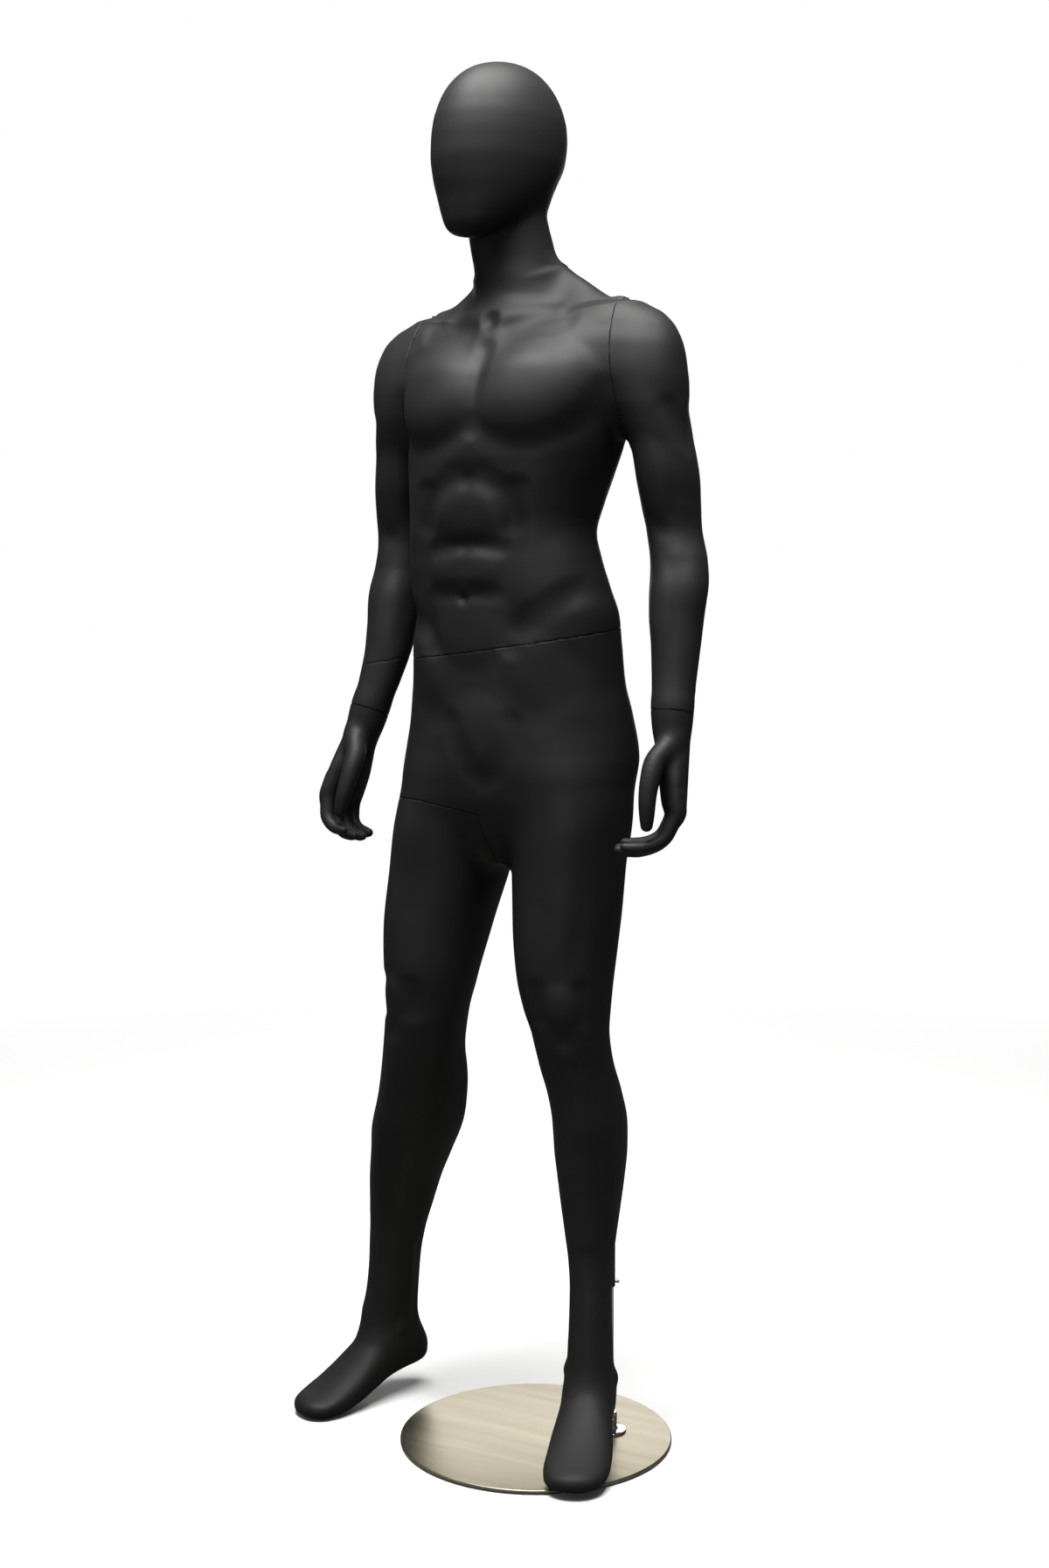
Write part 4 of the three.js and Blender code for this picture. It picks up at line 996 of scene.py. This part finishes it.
LOOKS = {
    "matte_black": lacquer(),
    "brushed_steel": brushed_steel(),
    "board_wood": board_wood(),
    "chrome": finish_of("chrome", ((0.70, 0.70, 0.71), (0.82, 0.82, 0.83)), (0.06, 0.13), (500, 0.00001), metal=1.0),
    "zinc_fittings": finish_of("zinc_plate", ((0.42, 0.44, 0.46), (0.62, 0.63, 0.62)), (0.32, 0.46), (350, 0.00003),
                               metal=1.0, patch=40.0),
    "socket_black": finish_of("black_powder_coat", ((0.010, 0.010, 0.010), (0.018, 0.018, 0.018)), (0.5, 0.62),
                              (700, 0.00010)),
    "pad_rubber": finish_of("pad_rubber", ((0.012, 0.012, 0.012), (0.024, 0.023, 0.022)), (0.8, 0.92), (420, 0.00020),
                            specular=0.3),
}


def dressed(obj, slot, body=None, *nodes, sharp=40):
    """Gives a piece its finish; given a body, also shading that is smooth up to an angle and that body, and hides the
    nodes that it stands for.
    """
    obj.data.materials.clear()
    obj.data.materials.append(LOOKS[slot])
    if body:
        smooth(obj, sharp)
        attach(obj, body)
        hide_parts(*nodes)
    return obj


def smooth(obj, angle):
    """Shading that is smooth up to an angle, on a mesh rid of slivers and of needless points along its edges."""
    bm = bmesh.new()
    bm.from_mesh(obj.data)
    bmesh.ops.dissolve_degenerate(bm, dist=SLIVER, edges=bm.edges)
    bmesh.ops.dissolve_verts(bm, verts=[v for v in bm.verts if len(v.link_edges) == 2])
    limit = math.radians(angle)
    for face in bm.faces:
        face.smooth = True
    for edge in bm.edges:
        edge.smooth = edge.calc_face_angle(0) < limit
    bm.to_mesh(obj.data)
    bm.free()
    obj.data.update()


# ------------------------------------------------------------------ the shells
def make_skin():
    skin = meshed("skin", figure, (-0.40, -0.22, -0.008), (0.31, 0.22, 1.91), BODY_STEP)
    points, outward = vectors(skin.data.vertices, "co"), vectors(skin.data.vertex_normals, "vector")
    points += outward * sculpted(points, outward)[:, None]
    skin.data.vertices.foreach_set("co", points.astype(np.float32).ravel())
    skin.data.update()
    for name in CUTS:
        refined(skin, CUTS[name], 1.3 * max(SLAB_REACH[name]), CROTCH_X if name == "thigh" else math.inf)
    return skin


def make_shells():
    skin = make_skin()
    for name in CUTS:
        skin = combined(skin, seam_slab(name))
        skin = combined(skin, inner_slab(name, -POCKET_DEPTH, POCKET_DEPTH, POCKET_INSET))
    thigh = CUTS["thigh"]
    skin = combined(skin, thigh.rod(PEG_WELL_RADIUS, -PEG_DEPTH, 0))
    place, _, low, high = upright("calf_socket")
    skin = combined(skin, put(UPRIGHT.rod(ROD_HOLE, low - 0.03, high + FIT, 64), place))
    shells = {}
    label = parts_of(skin)
    co = vectors(skin.data.vertices, "co")
    for k in np.unique(label):
        keep = label == k
        middle, size = co[keep].mean(0), co[keep].ptp(0)
        if size.max() < 0.3:  # the stubs that the hands stand for
            continue
        if middle[2] > 1.18 and abs(middle[0] + 0.02) < 0.12:
            name = "upper_body"
        elif middle[2] > 1.10:
            name = "left_arm" if middle[0] > 0 else "right_arm"
        else:
            name = "right_leg" if middle[0] < -0.1 else "lower_body"
        shells[name] = part(skin, keep, name + "_form")
    discard(skin)
    for name, shell in shells.items():
        dressed(shell, "matte_black", name, name + "_shell")
    return shells


def make_hand(side):
    wrist = CUTS[side + "_wrist"]
    hand = hands[side]
    knuckle_row = Vector(hand.origin + hand.turn @ (np.array([0.02, 0, -0.10]) * hand.flip))
    reach = Vector((0.075, 0.075, 0.13))

    def field(p):
        return blend(arms[side].distance(p), hand.distance(p), BLEND["wrist"])

    obj = meshed(side + "_hand_form", field, knuckle_row - reach, knuckle_row + reach, HAND_STEP)
    obj = combined(obj, wrist.slab(SEAM / 2, 0.4, (0.3, 0.3)), "INTERSECT")
    obj = combined(obj, wrist.rod(0.0124, -0.01, PLATE_FAR + FIT))
    return dressed(obj, "matte_black", side + "_hand", side + "_hand", sharp=50)


def make_boards():
    homes = {"waist": ("waist_lower_board", "lower_body", "waist_upper_board", "upper_body"),
             "thigh": ("thigh_socket_board", "lower_body", "right_leg_board", "right_leg")}
    for side in ("left", "right"):
        homes[side + "_shoulder"] = (side + "_shoulder_board", "upper_body", side + "_arm_board", side + "_arm")
        homes[side + "_wrist"] = (side + "_forearm_board", side + "_arm", None, None)
    for name, (fixed, fixed_body, moving, moving_body) in homes.items():
        cut, near = CUTS[name], PLATE_FAR + FIT
        thickness = 0.010 if name.endswith("wrist") else BOARD_THICKNESS
        hole = cut.rod(LOCK_POCKET.get(name, PEG_WELL_RADIUS), -0.06, 0.06)
        board = combined(inner_slab(name, -near - thickness, -near, POCKET_INSET + FIT), hole)
        board.name = fixed + "_ply"
        dressed(board, "board_wood", fixed_body, fixed)
        if moving:
            board = inner_slab(name, near, near + thickness, POCKET_INSET + FIT)
            board.name = moving + "_ply"
            dressed(board, "board_wood", moving_body, moving)


# ------------------------------------------------------------------ the stand
def turned(name, profile, segments=128):
    """A closed solid turned about the vertical through the origin, from a profile of (radius, height) points."""
    bm = bmesh.new()
    rings = []
    for radius, height in profile:
        angles = [2 * math.pi * i / segments for i in range(segments if radius else 1)]
        rings.append([bm.verts.new((radius * math.cos(a), radius * math.sin(a), height)) for a in angles])
    closed = rings if len(rings[0]) == 1 else rings + rings[:1]
    for low, high in zip(closed, closed[1:]):
        for i in range(segments):
            corners = low[i % len(low)], low[(i + 1) % len(low)], high[(i + 1) % len(high)], high[i % len(high)]
            corners = list(dict.fromkeys(corners))
            if len(corners) > 2:
                bm.faces.new(corners)
    bmesh.ops.recalc_face_normals(bm, faces=bm.faces)
    return from_bmesh(name, bm)


def arc(centre, radius, start, end, steps=6):
    """Points round a corner, from start to end in degrees."""
    angles = [math.radians(start + (end - start) * i / steps) for i in range(steps + 1)]
    return [(centre[0] + radius * math.cos(a), centre[1] + radius * math.sin(a)) for a in angles]


def bevelled(inner, outer, bottom, top, edge):
    """The profile of a round bar or a tube's outside, with its outer corners cut by edge."""
    return [(inner, bottom), (outer - edge, bottom), (outer, bottom + edge), (outer, top - edge), (outer - edge, top),
            (inner, top)]


def make_stand():
    place, rod, rod_bottom, rod_top = upright("support_rod")
    bore = rod + 0.0003

    def turned_piece(name, profile, segments, slot, body, node, *holes, sharp=35, at=place):
        piece = put(turned(name, profile, segments), at)
        for hole in holes:
            piece = combined(piece, hole)
        dressed(piece, slot, body, node, sharp=sharp)

    def screw_hole(joint):
        return cut_at(joint).rod(0.0032, 0, 0.03, 32)

    centre, radius, bottom, top = upright("base_plate")
    edge = 0.0018
    profile = [(0, bottom), (radius - edge, bottom)]
    profile += arc((radius - edge, bottom + edge), edge, -90, 0)[1:]
    profile += arc((radius - edge, top - edge), edge, 0, 90)
    sink = [(0, -0.01), (0.008, -0.01), (0.008, 0.0027), (0.0044, 0.0059), (0.0044, 0.02), (0, 0.02)]
    turned_piece("base_disc", profile + [(0, top)], 256, "brushed_steel", "stand", "base_plate",
                 put(turned("sink", sink, 64), place), at=centre)

    centre, radius, bottom, top = upright("base_pad")
    profile = [(0, bottom), (radius - 0.001, bottom), (radius, bottom + 0.0005), (radius, top), (0, top)]
    grooves = []  # they leave shallow ribs in the underside
    for ring in range(6):
        inner, outer = 0.03 + ring * 0.026, 0.033 + ring * 0.026
        grooves.append(turned("groove", [(inner, -0.001), (outer, -0.001), (outer, 0.0003), (inner, 0.0003)], 128))
    turned_piece("base_pad_sheet", profile, 160, "pad_rubber", "stand", "base_pad", *grooves, at=centre)

    _, flange, foot, top = upright("base_collar")
    neck, well = 0.011, rod_bottom - 0.0003
    profile = [(0, foot), (flange - 0.0004, foot), (flange, foot + 0.0004)]
    profile += arc((flange - 0.0012, foot + 0.0018), 0.0012, 0, 80) + [(neck + 0.0045, foot + 0.0034)]
    profile += arc((neck + 0.0026, foot + 0.0060), 0.0026, 270, 180)
    profile += arc((neck - 0.0016, top - 0.0016), 0.0016, 0, 90)
    profile += [(bore + 0.0005, top), (bore, top - 0.0005), (bore, well), (0, well)]
    turned_piece("base_collar_boss", profile, 96, "chrome", "stand", "base_collar", screw_hole("base_screw_turn"),
                 put(UPRIGHT.rod(0.0042, 0, 0.0118, 32), place))

    turned_piece("support_bar", bevelled(0, rod, rod_bottom, rod_top, 0.0008), 64, "chrome", "rod", "support_rod")

    _, outer, bottom, top = upright("calf_socket")
    profile = bevelled(0, outer, bottom, top, 0.0006)[1:] + [(0, rod_top + 0.0003), (bore, rod_top + 0.0003)]
    profile = [(bore, bottom + 0.0006), (bore + 0.0006, bottom)] + profile
    turned_piece("calf_sleeve", profile, 64, "socket_black", "lower_body", "calf_socket",
                 screw_hole("calf_screw_turn"))

    bolt = [(0, 0.002), (0.0071, 0.002), (0.0075, 0.0024), (0.0075, 0.0026), (0.004, 0.0056), (0.004, 0.0110),
            (0.0035, 0.0115), (0, 0.0115)]
    turned_piece("base_screw_bolt", bolt, 48, "zinc_fittings", "stand", "base_bolt",
                 put(UPRIGHT.rod(0.0029, 0.001, 0.0045, 6), place), sharp=30)

    start, end = 0.00615, 0.01365
    grub = [(0, start), (0.0018, start), (0.0030, start + 0.0010), (0.0030, end - 0.0004), (0.0026, end), (0, end)]
    for end_name in ("base", "calf"):
        joint = JOINTS[end_name + "_screw_turn"]
        node = end_name + "_set_screw"
        hexagon = UPRIGHT.rod(0.0016, end - 0.003, end + 0.001, 6)
        piece = combined(turned(node + "_grub", grub, 40), hexagon)
        put(piece, Vector(joint["pos_m"]), turned_to(Vector(joint["axis"])))
        dressed(piece, "zinc_fittings", end_name + "_screw", node, sharp=30)


# ------------------------------------------------------------------ the room
def make_stage():
    bpy.ops.mesh.primitive_circle_add(vertices=96, radius=14, fill_type="NGON")
    floor = bpy.context.object
    floor.name = "floor"
    net = material("pale_floor")
    place = net.place()
    floor.data.materials.append(net.shade({
        "Base Color": net.mixed(net.noise(place, 1.5), (0.88, 0.88, 0.88), (0.91, 0.91, 0.91)),
        "Roughness": 0.7,
        "Specular IOR Level": 0.2,
    }))
    far = net.between(net.add("VectorMath", {0: place}, operation="LENGTH")["Value"], 0.0, 1.0, 0.9, 3.5)
    paint, glow = net.tree.nodes["Principled BSDF"].outputs[0], net.add("Emission", {})[0]
    dim = net.add("BsdfDiffuse", {"Color": (FLOOR_BOUNCE, FLOOR_BOUNCE, FLOOR_BOUNCE, 1)})[0]
    net.split(dim, net.add("MixShader", {0: far, 1: paint, 2: glow})[0], "Material Output")

    world = bpy.data.worlds.new("studio")
    bpy.context.scene.world = world
    net = Nodes(world)
    seen = net.tree.nodes["Background"]
    net.feed(seen, {"Color": (1, 1, 1, 1), "Strength": 1.0})
    lit = net.add("Background", {"Color": (0.97, 0.98, 1, 1), "Strength": AMBIENT})[0]
    net.split(lit, seen.outputs[0], "World Output")

    for name, place, target, size, power, colour in LIGHTS:
        data = bpy.data.lights.new(name, "AREA")
        data.shape, data.size, data.size_y = "RECTANGLE", *size
        data.energy, data.color = power, colour
        light = in_scene(name, data)
        light.location = place
        light.rotation_euler = (Vector(target) - Vector(place)).to_track_quat("-Z", "Y").to_euler()


def make_camera():
    data = bpy.data.cameras.new("camera")
    data.sensor_fit = "VERTICAL"
    data.sensor_height, data.sensor_width, data.lens = SENSOR_HEIGHT, SENSOR_HEIGHT, CAMERA_LENS
    camera = in_scene("camera", data)
    camera.location = CAMERA_PLACE
    camera.rotation_euler = (math.radians(90 - CAMERA_DIP), 0, math.radians(CAMERA_TURN))
    bpy.context.scene.camera = camera
    bpy.context.scene.view_settings.view_transform = "Standard"


make_shells()
for side in ("left", "right"):
    make_hand(side)
make_boards()
make_stand()

SLOTS = {"zinc_fittings": ("_plate", "_stud", "_peg"), "board_wood": ("_block", "_board"),
         "matte_black": ("_shell", "_hand")}
for name, node in frame["nodes"].items():
    if not node.hide_render:
        slot = next((slot for slot, ends in SLOTS.items() if name.endswith(ends)), "zinc_fittings")
        dressed(node, slot)
make_stage()
make_camera()
